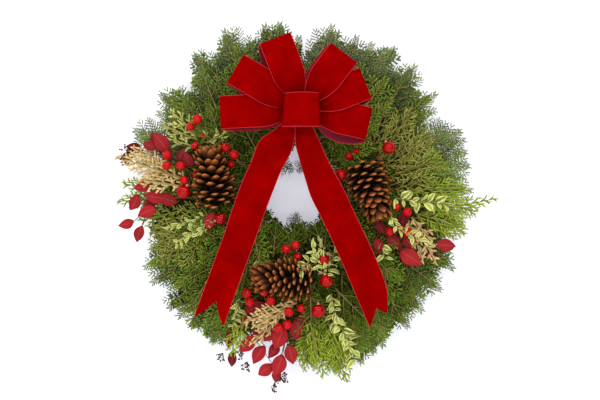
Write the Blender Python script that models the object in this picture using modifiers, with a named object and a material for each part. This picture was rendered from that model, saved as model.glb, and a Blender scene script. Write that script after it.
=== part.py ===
"""Fresh evergreen wreath: fir boughs on a wire ring, with a velvet bow, cones, berries and ornaments.

Metres, +Z up. The wreath hangs upright: its ring lies in the XZ plane, its front faces -Y, and the
wall would be at Y = 0. The origin is the hanging point, the inside top of the wire loop, where a
nail or hook carries it. Places on the wreath are given from the ring's centre: x to the right,
z up, and depth, the distance in front of the wall (so y = -depth).
"""

from math import cos, pi, radians, sin, tau

import bmesh
import bpy
from mathutils import Matrix, Vector

# Driving dimensions
RAIL_RADII = (0.125, 0.147, 0.169, 0.190)   # the frame's four concentric wires
RAIL_WIRE = 0.002                           # radius of the frame wire
RAIL_DISH = 0.0100                          # the outer two wires stand this far off the wall
TIE_COUNT = 10
TIE_WIRE = 0.00125
LOOP_RADIUS = 0.013                         # hanging loop, to the wire's centre
LOOP_WIRE = 0.0012
LOOP_RISE = 0.020                           # loop's centre above the outer wire
BINDING_WIRE = 0.0006
BINDING_TURNS = 11
BOUGH_COUNT = 10
BOUGH_FINGERS = 4                           # pointed shoots along each bough's outer edge
BOUGH_REACH = (0.350, 0.346, 0.349, 0.350, 0.356, 0.352, 0.355, 0.352, 0.349, 0.350)
BOUGH_NOTCH = 0.040                         # how far the outer edge drops between two shoots
BOUGH_HOLE = 0.082                          # radius of the opening inside the boughs
BOUGH_BACK = 0.020                          # depth of the boughs' back, just off the frame
BOUGH_THICK = 0.060
BOUGH_GAP = 0.0016
BOUGH_SWEEP = radians(16)                   # how far a bough leans round the ring, hole to tip
RIBBON_WIDTH = 0.0635
RIBBON_THICK = 0.0012
KNOT = (0.004, 0.168)                       # x and z of the bow's centre
LOOP_DEPTH = 0.168                          # the bow loops' middle depth at the knot
TAIL_DEPTH = 0.158
CONE_LENGTH = 0.122
CONE_WIDTH = 0.086
CONE_DEPTH = 0.112
BERRY_DEPTH = 0.118
PICK_WIRE = 0.0009
LEAF_THICK = 0.0024
CLEARANCE = 0.0004

# The ring hangs below the origin by the loop's height over the outer wire, and that wire's radius.
HANG_DROP = RAIL_RADII[-1] + LOOP_RISE + LOOP_RADIUS - LOOP_WIRE
FRONT = Vector((0.0, -1.0, 0.0))


def spot(x, z, depth):
    """A point from its place about the ring's centre and its distance in front of the wall."""
    return Vector((x, -depth, z - HANG_DROP))


def clock(angle, radius, depth):
    """A point from its angle round the ring, counter-clockwise from +X, and its radius."""
    return spot(radius * cos(angle), radius * sin(angle), depth)


# Scene, collections and materials
for old in list(bpy.data.objects):
    bpy.data.objects.remove(old, do_unlink=True)
PARTS = bpy.data.collections.new("evergreen_wreath")
CUTTERS = bpy.data.collections.new("evergreen_wreath_cutters")
bpy.context.scene.collection.children.link(PARTS)
bpy.context.scene.collection.children.link(CUTTERS)


def finish_of(name, colour, roughness, metallic=0.0):
    material = bpy.data.materials.new(name)
    material.use_nodes = True
    shader = material.node_tree.nodes["Principled BSDF"]
    shader.inputs["Base Color"].default_value = (*colour, 1.0)
    shader.inputs["Roughness"].default_value = roughness
    shader.inputs["Metallic"].default_value = metallic
    return material


def add_part(name, mesh, finish):
    part = bpy.data.objects.new(name, mesh)
    mesh.name = name
    mesh.materials.clear()
    mesh.materials.append(finish)
    PARTS.objects.link(part)
    return part


def mesh_of(shape, name="shape"):
    mesh = bpy.data.meshes.new(name)
    shape.to_mesh(mesh)
    shape.free()
    return mesh


def hide_as_cutter(tool):
    PARTS.objects.unlink(tool)
    CUTTERS.objects.link(tool)
    tool.hide_render = True
    tool.display_type = "WIRE"


def combine(part, tools, operation="UNION"):
    """Boolean modifiers on the part, one for each tool; the tools move to the cutters."""
    for tool in tools:
        if tool.name in PARTS.objects:
            hide_as_cutter(tool)
        step = part.modifiers.new(f"{operation.lower()} {tool.name}", "BOOLEAN")
        step.operation = operation
        step.solver = "EXACT"
        step.object = tool


def wire(name, points, radius, finish, resolution=1):
    """A round wire through the points, as a mesh with its end caps welded on."""
    curve = bpy.data.curves.new(name, "CURVE")
    curve.dimensions = "3D"
    curve.bevel_depth = radius
    curve.bevel_resolution = resolution
    curve.use_fill_caps = True
    run = curve.splines.new("POLY")
    run.points.add(len(points) - 1)
    for place, point in zip(run.points, points):
        place.co = (*point, 1.0)
    guide = bpy.data.objects.new(name, curve)
    PARTS.objects.link(guide)
    depsgraph = bpy.context.evaluated_depsgraph_get()
    mesh = bpy.data.meshes.new_from_object(guide.evaluated_get(depsgraph))
    PARTS.objects.unlink(guide)
    bpy.data.objects.remove(guide)
    shape = bmesh.new()
    shape.from_mesh(mesh)
    bmesh.ops.remove_doubles(shape, verts=shape.verts, dist=1e-6)
    bmesh.ops.recalc_face_normals(shape, faces=shape.faces)
    bpy.data.meshes.remove(mesh)
    return add_part(name, mesh_of(shape), finish)


def ball_shape(centre, radii, turn=None, around=8, rings=6):
    """A UV sphere stretched to three radii, turned and moved to its centre."""
    shape = bmesh.new()
    bmesh.ops.create_uvsphere(shape, u_segments=around, v_segments=rings, radius=1.0)
    frame = Matrix.Translation(centre)
    if turn is not None:
        frame = frame @ turn.to_4x4()
    shape.transform(frame @ Matrix.Diagonal((*radii, 1.0)))
    return shape


# Frame: four concentric wires, dished, welded to short radial ties
frame_metal = finish_of("green_painted_wire", (0.035, 0.075, 0.04), 0.45, 0.2)
RAIL_FLAT = RAIL_WIRE * sin(pi / 3)  # a six-sided wire's flat back is this far behind its centre


def rail_depth(index):
    return RAIL_FLAT + (RAIL_DISH if index in (0, len(RAIL_RADII) - 1) else 0.0)


def add_rail(name, index):
    bpy.ops.mesh.primitive_torus_add(
        major_segments=40,
        minor_segments=6,
        major_radius=RAIL_RADII[index],
        minor_radius=RAIL_WIRE,
    )
    torus = bpy.context.object
    mesh = torus.data.copy()
    bpy.data.objects.remove(torus)
    mesh.transform(Matrix.Translation(spot(0, 0, rail_depth(index))) @ Matrix.Rotation(pi / 2, 4, "X"))
    return add_part(name, mesh, frame_metal)


rails = [add_rail(f"rail_{i}", i) for i in range(len(RAIL_RADII))]
ties = []
for i in range(TIE_COUNT):
    angle = tau * (i + 0.5) / TIE_COUNT
    bend = [clock(angle, r, rail_depth(k)) for k, r in enumerate(RAIL_RADII)]
    ties.append(wire(f"tie_{i}", bend, TIE_WIRE, frame_metal))
wire_frame = rails[0]
wire_frame.name = "wire_frame"
combine(wire_frame, ties + rails[1:])

# Hanging loop: one wire hooked twice under the outer wire, with its eye above it
LOOP_HOOK = RAIL_WIRE + LOOP_WIRE + CLEARANCE
LOOP_LEG = 0.0034
rail_top = RAIL_RADII[-1]
outer_depth = rail_depth(len(RAIL_RADII) - 1)
hook = [
    (outer_depth + LOOP_HOOK, 0.001),
    (outer_depth + 0.7 * LOOP_HOOK, -0.8 * LOOP_HOOK),
    (outer_depth, -1.15 * LOOP_HOOK),
    (outer_depth - 0.8 * LOOP_HOOK, -0.8 * LOOP_HOOK),
    (outer_depth - 1.15 * LOOP_HOOK, 0.001),
]
eye = [
    (LOOP_RADIUS * sin(a), LOOP_RISE - LOOP_RADIUS * cos(a))
    for a in (pi + (pi - radians(15)) * (k / 8 - 1) for k in range(17))
]
left_leg = [spot(-LOOP_LEG, rail_top + z, depth) for depth, z in hook]
right_leg = [spot(LOOP_LEG, rail_top + z, depth) for depth, z in reversed(hook)]
EYE_DEPTH = outer_depth - 0.9 * LOOP_HOOK
ring_of_eye = [spot(-x, rail_top + z, EYE_DEPTH) for x, z in eye]
wire("hanging_loop", left_leg + ring_of_eye + right_leg, LOOP_WIRE, frame_metal)

# Binding wire: one long thin wire wound round the frame, all the way round but for the top
binding_metal = finish_of("florist_wire", (0.10, 0.14, 0.09), 0.4, 0.6)
BINDING_STEPS = 10
MID_RADIUS = (RAIL_RADII[0] + RAIL_RADII[-1]) / 2
HALF_BAND = (RAIL_RADII[-1] - RAIL_RADII[0]) / 2 + RAIL_WIRE + BINDING_WIRE + 0.0015
BACK_RUN = -BINDING_WIRE - 0.0008
FRONT_RUN = 0.0180
winding = []
for k in range(BINDING_TURNS * BINDING_STEPS + 1):
    turn = tau * k / BINDING_STEPS
    angle = radians(100) + radians(340) * k / (BINDING_TURNS * BINDING_STEPS)
    across = max(-1.0, min(1.0, 1.35 * cos(turn)))
    lift = max(-1.0, min(1.0, 1.35 * sin(turn)))
    depth = (FRONT_RUN + BACK_RUN) / 2 + lift * (FRONT_RUN - BACK_RUN) / 2
    winding.append(clock(angle, MID_RADIUS + across * HALF_BAND, depth))
wire("binding_wire", winding, BINDING_WIRE, binding_metal)


# Fir boughs: pointed bundles side by side round the ring, thick over the frame and thin at the tips
def bent_pad(steps, across, place):
    """A grid given a back and a front: place(t, s, up) with t 0..1, s -1..1, up 0 back, 1 front."""
    pad = bmesh.new()
    bmesh.ops.create_grid(pad, x_segments=steps, y_segments=across, size=1.0)
    front = bmesh.ops.extrude_face_region(pad, geom=pad.faces[:])
    for item in front["geom"]:
        if isinstance(item, bmesh.types.BMVert):
            item.co.z = 1.0
    for corner in pad.verts:
        x, y, z = corner.co
        corner.co = place((x + 1) / 2, y, z)
    bmesh.ops.recalc_face_normals(pad, faces=pad.faces)
    return pad


def add_bough(index):
    middle = radians(108) + tau * index / BOUGH_COUNT
    columns = 2 * BOUGH_FINGERS

    def place(t, s, up):
        column = round((s + 1) / 2 * columns)
        tip = BOUGH_REACH[index] if column % 2 else BOUGH_REACH[index] - BOUGH_NOTCH
        radius = BOUGH_HOLE + (tip - BOUGH_HOLE) * t
        lean = BOUGH_SWEEP * (radius - MID_RADIUS) / (BOUGH_REACH[index] - BOUGH_HOLE)
        half = pi / BOUGH_COUNT - BOUGH_GAP / radius
        crown = sin(pi * (0.08 + 0.86 * t)) ** 0.8 * (1 - 0.3 * s * s)
        depth = BOUGH_BACK + (0.004 + BOUGH_THICK * crown) * up
        return clock(middle + s * half + lean, radius, depth)

    return add_part(f"fir_bough_{index + 1:02d}", mesh_of(bent_pad(5, columns, place)), fir_green)


fir_green = finish_of("fir_needles", (0.09, 0.19, 0.05), 0.6)
boughs = [add_bough(index) for index in range(BOUGH_COUNT)]


# Cones: ovoid, widest near the base, their scale tips standing out in two crossing spirals
cone_brown = finish_of("cone_scales", (0.30, 0.13, 0.05), 0.65)
SCALE_BUMP = 0.07


def cone_shape(centre, lean, grow=1.0):
    """lean is the direction of the cone's tip, counter-clockwise from +X, seen from the front."""
    shape = ball_shape(Vector(), (1, 1, 1), around=20, rings=12)
    half_width = CONE_WIDTH / 2 * grow
    half_length = CONE_LENGTH / 2 * grow
    for corner in shape.verts:
        x, y, z = corner.co
        azimuth = Vector((x, y)).angle_signed(Vector((1, 0)), 0.0)
        bump = 1 + SCALE_BUMP * cos(8 * azimuth + 9 * z) * cos(5 * azimuth - 9 * z) * (1 - z * z)
        body = half_width * (1 - 0.16 * z) * bump * (1.0 if grow == 1.0 else 1 + SCALE_BUMP)
        corner.co = (x * body, y * body, z * half_length)
    turn = Matrix.Rotation(lean - pi / 2, 4, FRONT)
    shape.transform(Matrix.Translation(centre) @ turn)
    return shape


CONES = {
    "left": (-0.174, 0.030, radians(97)),
    "right": (0.140, 0.014, radians(-72)),
    "bottom": (-0.030, -0.168, radians(177)),
}
pockets = []
for side, (x, z, lean) in CONES.items():
    centre = spot(x, z, CONE_DEPTH)
    add_part(f"pine_cone_{side}", mesh_of(cone_shape(centre, lean)), cone_brown)
    pocket = add_part(f"pocket_{side}", mesh_of(ball_shape(
        centre,
        (CONE_WIDTH / 2 * 1.28, CONE_WIDTH / 2 * 1.2, CONE_LENGTH / 2 * 1.15),
        Matrix.Rotation(lean - pi / 2, 3, FRONT),
        around=10,
        rings=8,
    )), cone_brown)
    hide_as_cutter(pocket)
    pockets.append((pocket, centre))

# A pocket in each bough that a cone lies in
for bough in boughs:
    middle = sum((corner.co for corner in bough.data.vertices), Vector()) / len(bough.data.vertices)
    for pocket, centre in pockets:
        if (middle - centre).length < 0.145:
            combine(bough, [pocket], "DIFFERENCE")

# Sprays laid on the boughs: flat saw-edged fronds, each at its own depth
cedar_green = finish_of("cedar_sprays", (0.14, 0.27, 0.05), 0.55)
juniper_green = finish_of("juniper_twigs", (0.26, 0.32, 0.10), 0.6)
cypress_gold = finish_of("golden_cypress", (0.42, 0.44, 0.12), 0.6)
variegated_cream = finish_of("variegated_leaves", (0.50, 0.58, 0.25), 0.5)
spray_gold = finish_of("gilded_spray", (0.62, 0.45, 0.20), 0.45, 0.2)
LAYER_STEP = 0.0046
FIRST_LAYER = BOUGH_BACK + BOUGH_THICK + 0.008


def add_spray(name, base, tip, width, teeth, layer, finish):
    """A frond's outline from base to tip: teeth on both sides under a rounded envelope."""
    start = Vector((base[0], base[1]))
    run = Vector((tip[0], tip[1])) - start
    side = Vector((-run.y, run.x)).normalized()

    def edge(sign):
        points = []
        for k in range(1, 2 * teeth):
            share = k / (2 * teeth)
            reach = width / 2 * sin(pi * share ** 0.8) * (1.0 if k % 2 else 0.45)
            slip = 0.35 / teeth if k % 2 else 0.0
            points.append(start + run * min(share + slip, 0.97) + side * sign * max(reach, 0.002))
        return points

    outline = [start] + edge(-1) + [start + run] + edge(1)[::-1]
    curve = bpy.data.curves.new(name, "CURVE")
    curve.dimensions = "2D"
    curve.fill_mode = "BOTH"
    curve.extrude = LEAF_THICK / 2
    border = curve.splines.new("POLY")
    border.points.add(len(outline) - 1)
    border.use_cyclic_u = True
    for place, point in zip(border.points, outline):
        place.co = (point.x, point.y, 0.0, 1.0)
    guide = bpy.data.objects.new(name, curve)
    PARTS.objects.link(guide)
    depsgraph = bpy.context.evaluated_depsgraph_get()
    mesh = bpy.data.meshes.new_from_object(guide.evaluated_get(depsgraph))
    bpy.data.objects.remove(guide)
    upright = Matrix.Translation(spot(0, 0, FIRST_LAYER + layer * LAYER_STEP))
    mesh.transform(upright @ Matrix.Rotation(pi / 2, 4, "X"))
    shape = bmesh.new()
    shape.from_mesh(mesh)
    bmesh.ops.remove_doubles(shape, verts=shape.verts, dist=1e-6)
    bmesh.ops.recalc_face_normals(shape, faces=shape.faces)
    bpy.data.meshes.remove(mesh)
    return add_part(name, mesh_of(shape), finish)


add_spray("cedar_spray_left", (-0.258, -0.004), (-0.370, 0.020), 0.064, 5, 0, cedar_green)
add_spray("cedar_spray_right", (0.236, -0.030), (0.394, -0.013), 0.060, 6, 0, cedar_green)
add_spray("cedar_spray_bottom", (0.026, -0.256), (0.094, -0.376), 0.076, 5, 1, cedar_green)
add_spray("juniper_spray_right", (0.186, 0.046), (0.258, 0.140), 0.090, 5, 0, juniper_green)
add_spray("juniper_spray_left", (-0.190, -0.070), (-0.300, -0.134), 0.080, 5, 1, juniper_green)
add_spray("golden_cypress_left", (-0.206, 0.104), (-0.276, 0.160), 0.066, 4, 0, cypress_gold)
add_spray("variegated_sprig_left", (-0.184, -0.042), (-0.262, -0.090), 0.052, 4, 2, variegated_cream)
add_spray("variegated_sprig_right", (0.196, -0.004), (0.292, -0.014), 0.046, 4, 1, variegated_cream)
add_spray("variegated_sprig_inner", (0.050, -0.186), (0.050, -0.092), 0.060, 4, 0, variegated_cream)
add_spray("variegated_sprig_bottom", (0.060, -0.196), (0.098, -0.306), 0.050, 5, 0, variegated_cream)
add_spray("gilded_spray_left", (-0.236, 0.012), (-0.366, 0.078), 0.066, 6, 2, spray_gold)
add_spray("gilded_spray_bottom", (-0.010, -0.220), (-0.104, -0.254), 0.044, 5, 3, spray_gold)
add_spray("gilded_spray_right", (0.222, -0.046), (0.268, -0.122), 0.044, 4, 3, spray_gold)

# Eucalyptus: oval dried leaves along a bent stem, each leaf given by its middle and its tip's angle
leaf_red = finish_of("preserved_eucalyptus", (0.42, 0.03, 0.05), 0.6)
LEAF_SHARE = 0.66  # a leaf's width against its length
SPRIGS = {
    "left_upper": (3, (-0.224, 0.070, 120, 0.026), (-0.276, 0.104, 126, 0.036),
                   (-0.296, 0.092, 150, 0.028), (-0.322, 0.094, 165, 0.030)),
    "left_lower": (3, (-0.262, -0.010, -20, 0.032), (-0.288, -0.004, 200, 0.030),
                   (-0.312, 0.018, 185, 0.036), (-0.327, -0.020, 265, 0.034),
                   (-0.308, -0.036, 240, 0.038), (-0.342, -0.060, 225, 0.030),
                   (-0.320, -0.078, 260, 0.030)),
    "left_inner": (4, (-0.178, -0.052, 250, 0.030), (-0.186, -0.072, 262, 0.028)),
    "bottom_left": (0, (-0.094, -0.232, 200, 0.036), (-0.113, -0.256, 240, 0.030),
                    (-0.087, -0.278, 250, 0.030), (-0.109, -0.298, 225, 0.036),
                    (-0.083, -0.316, 250, 0.034), (-0.070, -0.348, 215, 0.034)),
    "bottom_right": (2, (-0.004, -0.266, 80, 0.038), (-0.041, -0.286, 265, 0.044),
                     (-0.018, -0.314, 285, 0.034), (-0.048, -0.306, 240, 0.030),
                     (-0.040, -0.339, 250, 0.040), (-0.047, -0.361, 262, 0.026)),
    "right": (4, (0.160, -0.064, 300, 0.026), (0.188, -0.094, 310, 0.034),
              (0.219, -0.124, 325, 0.046), (0.240, -0.084, 340, 0.034),
              (0.258, -0.116, 250, 0.024), (0.291, -0.100, 355, 0.036)),
}
for side, (layer, *leaves) in SPRIGS.items():
    depth = FIRST_LAYER + layer * LAYER_STEP
    blades = []
    joints = []
    for k, (x, z, tip_angle, length) in enumerate(leaves):
        turn = Matrix.Rotation(radians(tip_angle), 3, FRONT)
        radii = (length / 2, LEAF_THICK / 2, length / 2 * LEAF_SHARE)
        blade = ball_shape(spot(x, z, depth), radii, turn, around=8, rings=4)
        blades.append(add_part(f"leaf_{side}_{k}", mesh_of(blade), leaf_red))
        foot = 0.35 * length
        joints.append(spot(x - foot * cos(radians(tip_angle)), z - foot * sin(radians(tip_angle)), depth))
    sprig = wire(f"eucalyptus_{side}", joints, PICK_WIRE, leaf_red, 0)
    combine(sprig, blades)

# Berries: glossy fruits on short wires that meet at one join, one node for each pick
berry_red = finish_of("berry_skin", (0.55, 0.01, 0.01), 0.12)
PICKS = {
    "left_top": ((-0.204, 0.150, 0.0100), (-0.218, 0.136, 0.0078), (-0.196, 0.118, 0.0084)),
    "left_inner": ((-0.148, 0.094, 0.0090), (-0.131, 0.078, 0.0092), (-0.120, 0.056, 0.0084)),
    "left_outer": ((-0.264, 0.079, 0.0092), (-0.264, 0.058, 0.0092), (-0.240, 0.059, 0.0092),
                   (-0.232, 0.034, 0.0085)),
    "right_top": ((0.112, 0.088, 0.0060), (0.098, 0.078, 0.0080)),
    "right": ((0.193, -0.024, 0.0068), (0.215, -0.036, 0.0090), (0.176, -0.075, 0.0084),
              (0.201, -0.068, 0.0080), (0.217, -0.074, 0.0098)),
    "bottom_top": ((-0.028, -0.106, 0.0088), (-0.010, -0.098, 0.0088), (0.006, -0.112, 0.0084)),
    "bottom_left": ((-0.106, -0.194, 0.0092), (-0.100, -0.215, 0.0090), (-0.078, -0.216, 0.0080)),
    "bottom": ((-0.022, -0.230, 0.0092), (0.002, -0.224, 0.0080), (-0.045, -0.264, 0.0092),
               (-0.026, -0.257, 0.0092), (-0.054, -0.222, 0.0088)),
}
PICK_SINK = 0.007  # the join lies this far behind the berries' middles
for side, berries in PICKS.items():
    centres = [spot(x, z, BERRY_DEPTH) for x, z, size in berries]
    join = sum(centres, Vector()) / len(centres) - FRONT * PICK_SINK
    pick = add_part(f"berry_pick_{side}", mesh_of(ball_shape(join, (0.0022,) * 3, rings=4)), berry_red)
    pieces = []
    for k, (centre, (x, z, size)) in enumerate(zip(centres, berries)):
        pieces.append(wire(f"stem_{side}_{k}", [join, centre], PICK_WIRE, berry_red, 0))
        fruit = ball_shape(centre, (size,) * 3, Matrix.Rotation(0.4 + k, 3, (0.6, 0.5, 0.62)), rings=5)
        pieces.append(add_part(f"berry_{side}_{k}", mesh_of(fruit), berry_red))
    combine(pick, pieces)

# Ornaments: small glossy balls, each with the metal cap that its wire holds
ball_red = finish_of("ornament_gloss", (0.50, 0.0, 0.01), 0.06)
CAP_RADIUS = 0.0038
ORNAMENTS = {
    "left": (-0.231, 0.006, 0.0130, 60),
    "left_low": (-0.154, -0.046, 0.0115, 200),
    "right": (0.176, 0.094, 0.0125, 120),
    "right_inner": (0.082, 0.040, 0.0115, 170),
    "bottom_high": (0.050, -0.128, 0.0120, 60),
    "bottom_mid": (0.053, -0.171, 0.0128, 200),
    "bottom_low": (0.036, -0.231, 0.0136, 90),
}
for side, (x, z, radius, cap_angle) in ORNAMENTS.items():
    centre = spot(x, z, BERRY_DEPTH + 0.006)
    ball = ball_shape(centre, (radius,) * 3, around=10, rings=7)
    ornament = add_part(f"ornament_ball_{side}", mesh_of(ball), ball_red)
    cap = bmesh.new()
    bmesh.ops.create_cone(
        cap, cap_ends=True, segments=8, radius1=CAP_RADIUS, radius2=CAP_RADIUS, depth=0.006
    )
    turn = Matrix.Rotation(radians(cap_angle), 4, FRONT) @ Matrix.Rotation(pi / 2, 4, "Y")
    out = Vector((cos(radians(cap_angle)), 0.0, sin(radians(cap_angle))))
    cap.transform(Matrix.Translation(centre + out * (radius + 0.001)) @ turn)
    combine(ornament, [add_part(f"cap_{side}", mesh_of(cap), ball_red)])

# Bow: six ribbon loops fanned above the knot, a short loop over it, two tails, all on one wire
velvet = finish_of("velvet_ribbon", (0.38, 0.0, 0.004), 0.8)
LOOP_START = 0.034   # the loops' inner ends, under the centre loop
LOOP_HALF = 0.021    # half the loop's opening
LOOP_ENDS = 0.0016
FAN_SHARE = 0.50     # a loop's width against its distance from the knot, up to the ribbon's


def add_ribbon(name, steps, place):
    """place(t, s) bends a flat grid, t 0..1 along the ribbon and s -1..1 across it."""
    sheet = bmesh.new()
    bmesh.ops.create_grid(sheet, x_segments=steps, y_segments=2, size=1.0)
    for corner in sheet.verts:
        corner.co = place((corner.co.x + 1) / 2, corner.co.y)
    ribbon = add_part(name, mesh_of(sheet), velvet)
    body = ribbon.modifiers.new("ribbon thickness", "SOLIDIFY")
    body.thickness = RIBBON_THICK
    body.offset = 0.0
    return ribbon


def add_bow_loop(name, aim, reach):
    """A drop-shaped loop from the knot: out along the front, round its end, and back behind."""
    outward = Vector((cos(aim), 0.0, sin(aim)))
    sideways = Vector((-sin(aim), 0.0, cos(aim)))
    centre = spot(*KNOT, LOOP_DEPTH)

    def place(t, s):
        swing = tau * t
        far = LOOP_START + (reach - LOOP_START) * (1 - cos(swing)) / 2
        lift = LOOP_HALF * sin(swing) * sin(swing / 2) ** 0.7 + LOOP_ENDS * cos(swing / 2)
        half = min(FAN_SHARE * far, RIBBON_WIDTH) / 2
        return centre + outward * far + FRONT * lift + sideways * half * s

    return add_ribbon(name, 20, place)


BOW_LOOPS = {
    "left_top": (110, 0.147),
    "left_middle": (147, 0.152),
    "left_low": (182, 0.160),
    "right_top": (57, 0.140),
    "right_middle": (23, 0.134),
    "right_low": (-11, 0.133),
}
for side, (aim, reach) in BOW_LOOPS.items():
    add_bow_loop(f"bow_loop_{side}", radians(aim), reach)

CENTRE_LOOP = (0.033, 0.015)   # half width and half depth of the short loop over the knot
CENTRE_DEPTH = 0.191


def centre_place(t, s):
    """A band round the knot, open above and below, a little narrower at its top."""
    swing = radians(8) + radians(344) * t + pi / 2
    taper = 1 - 0.08 * (s + 1) / 2
    across = CENTRE_LOOP[0] * taper * sin(swing)
    lift = -CENTRE_LOOP[1] * cos(swing)
    return spot(KNOT[0] + across, KNOT[1] - 0.001 + 0.031 * s, CENTRE_DEPTH + lift)


add_ribbon("bow_centre_loop", 20, centre_place)

# The tails hang in front of the boughs, gathered at the knot, and end in a cut V
TAIL_NOTCH = 0.028
TAIL_ROUTES = {
    "left": ((-0.017, 0.132), (-0.042, 0.088), (-0.066, 0.038), (-0.092, -0.024), (-0.122, -0.104),
             (-0.152, -0.184), (-0.179, -0.250)),
    "right": ((0.014, 0.132), (0.022, 0.088), (0.038, 0.044), (0.060, -0.006), (0.092, -0.076),
              (0.126, -0.156), (0.158, -0.246)),
}


def along(route, share):
    """A point on the smooth curve (Catmull-Rom) through a route's points, share 0..1 along it."""
    last = len(route) - 1
    k = min(int(share * last), last - 1)
    u = share * last - k
    a, b, c, d = (Vector(route[max(0, min(last, k + j))]) for j in (-1, 0, 1, 2))
    return 0.5 * (2 * b + (c - a) * u + (2 * a - 5 * b + 4 * c - d) * u * u
                  + (3 * b - a - 3 * c + d) * u ** 3)


def add_tail(side, route):
    def place(t, s):
        here = along(route, t)
        ahead = (along(route, min(1.0, t + 0.02)) - along(route, max(0.0, t - 0.02))).normalized()
        gather = 0.45 + 0.55 * min(1.0, t / 0.28)
        half = RIBBON_WIDTH / 2 * gather
        notch = -ahead * TAIL_NOTCH * (1 - abs(s)) * max(0.0, (t - 0.9) / 0.1)
        flat = here + notch + Vector((ahead.y, -ahead.x)) * half * s
        return spot(flat.x, flat.y, TAIL_DEPTH - 0.006 * sin(pi * t))

    return add_ribbon(f"bow_tail_{side}", 20, place)


for side, route in TAIL_ROUTES.items():
    add_tail(side, route)

# Bow wire: from the knot back between two boughs, hooked round one of the frame's wires
bow_channel = [
    spot(KNOT[0], RAIL_RADII[2] - 0.006, 0.158),
    spot(KNOT[0], RAIL_RADII[2] - 0.006, 0.004),
    spot(KNOT[0], RAIL_RADII[2] - 0.003, -0.0032),
    spot(KNOT[0], RAIL_RADII[2] + 0.002, -0.0040),
    spot(KNOT[0], RAIL_RADII[2] + 0.006, 0.002),
    spot(KNOT[0], RAIL_RADII[2] + 0.007, 0.012),
]
wire("bow_wire", bow_channel, PICK_WIRE, binding_metal)
bore = wire("bow_wire_bore", [bow_channel[0], spot(KNOT[0], RAIL_RADII[2] - 0.006, 0.010)],
            0.0022, binding_metal, resolution=2)
hide_as_cutter(bore)
for bough in (boughs[0], boughs[-1]):
    combine(bough, [bore], "DIFFERENCE")
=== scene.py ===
from math import cos, pi, radians, sin, tau

import bpy
import numpy as np
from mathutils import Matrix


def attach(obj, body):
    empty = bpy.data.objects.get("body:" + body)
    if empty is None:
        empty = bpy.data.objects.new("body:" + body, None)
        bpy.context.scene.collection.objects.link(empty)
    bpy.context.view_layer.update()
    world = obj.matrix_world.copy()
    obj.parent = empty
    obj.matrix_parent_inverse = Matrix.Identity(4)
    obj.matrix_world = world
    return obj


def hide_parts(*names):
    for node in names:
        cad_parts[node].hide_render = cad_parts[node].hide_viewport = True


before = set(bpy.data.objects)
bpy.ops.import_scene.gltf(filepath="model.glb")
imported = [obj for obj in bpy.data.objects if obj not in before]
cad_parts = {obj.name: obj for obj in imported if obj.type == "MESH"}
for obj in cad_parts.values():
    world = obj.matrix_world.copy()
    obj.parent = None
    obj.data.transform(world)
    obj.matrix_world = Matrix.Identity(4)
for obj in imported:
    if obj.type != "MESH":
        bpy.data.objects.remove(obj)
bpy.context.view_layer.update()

# ---------------------------------------------------------------- wire frame
# Four steel rails bent into rings and welded to cross ties, dipped in dark green enamel.
# A loop of bare florist wire is twisted round the outer rail, and hangs on a nail.


def node(tree, kind, sockets=(), **settings):
    """Adds one shader node. Each socket is given a constant, or another node's output to link."""
    made = tree.nodes.new("ShaderNode" + kind)
    for name, value in settings.items():
        setattr(made, name, value)
    for name, value in dict(sockets).items():
        if isinstance(value, bpy.types.NodeSocket):
            tree.links.new(value, made.inputs[name])
        else:
            made.inputs[name].default_value = value
    return made


def maths(tree, operation, *values, clamp=False):
    """The output of one Math node on these constants or sockets."""
    return node(tree, "Math", dict(enumerate(values)), operation=operation, use_clamp=clamp).outputs[0]


def finish(name, **sockets):
    """A new material with one Principled BSDF, whose sockets take the constants given."""
    made = bpy.data.materials.new(name)
    made.use_nodes = True
    shader = made.node_tree.nodes["Principled BSDF"]
    for socket, value in sockets.items():
        shader.inputs[socket.replace("_", " ")].default_value = value
    return made, made.node_tree, shader


def mottle_group():
    """Shader group: a tone from 0 to 1 is shifted by noise, and picks a colour between dark and light."""
    group = bpy.data.node_groups.new("mottle", "ShaderNodeTree")
    for name, kind, start in (
        ("Tone", "Float", 0.5), ("Dark", "Color", (0, 0, 0, 1)), ("Light", "Color", (1, 1, 1, 1)),
        ("Scale", "Float", 100.0), ("Amount", "Float", 0.3),
    ):
        socket = group.interface.new_socket(name, in_out="INPUT", socket_type="NodeSocket" + kind)
        socket.default_value = start
    group.interface.new_socket("Colour", in_out="OUTPUT", socket_type="NodeSocketColor")
    group.interface.new_socket("Height", in_out="OUTPUT", socket_type="NodeSocketFloat")
    given = group.nodes.new("NodeGroupInput").outputs
    result = group.nodes.new("NodeGroupOutput").inputs
    place = node(group, "TexCoord").outputs["Object"]
    grain = node(group, "TexNoise", {"Vector": place, "Scale": given["Scale"], "Detail": 3.0}).outputs["Fac"]
    centred = maths(group, "SUBTRACT", grain, 0.5)
    shift = maths(group, "MULTIPLY", centred, given["Amount"])
    tone = maths(group, "ADD", given["Tone"], shift, clamp=True)
    blend = node(group, "Mix", {0: tone, 6: given["Dark"], 7: given["Light"]}, data_type="RGBA")
    group.links.new(blend.outputs[2], result["Colour"])
    group.links.new(grain, result["Height"])
    return group


MOTTLE = mottle_group()


def mottled(tree, tone, dark, light, scale, amount):
    """Places the mottle group; returns its colour and height outputs. tone is a constant or a socket."""
    sockets = {"Dark": (*dark, 1), "Light": (*light, 1), "Scale": scale, "Amount": amount, "Tone": tone}
    made = node(tree, "Group", sockets, node_tree=MOTTLE)
    return made.outputs["Colour"], made.outputs["Height"]


def surface(tree, shader, colour, height=None, distance=0.0, strength=0.6):
    """Gives the shader its colour, and a bump that is distance metres from lowest to highest."""
    tree.links.new(colour, shader.inputs["Base Color"])
    if height is not None:
        bump = node(tree, "Bump", {"Height": height, "Distance": distance, "Strength": strength})
        tree.links.new(bump.outputs["Normal"], shader.inputs["Normal"])


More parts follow.
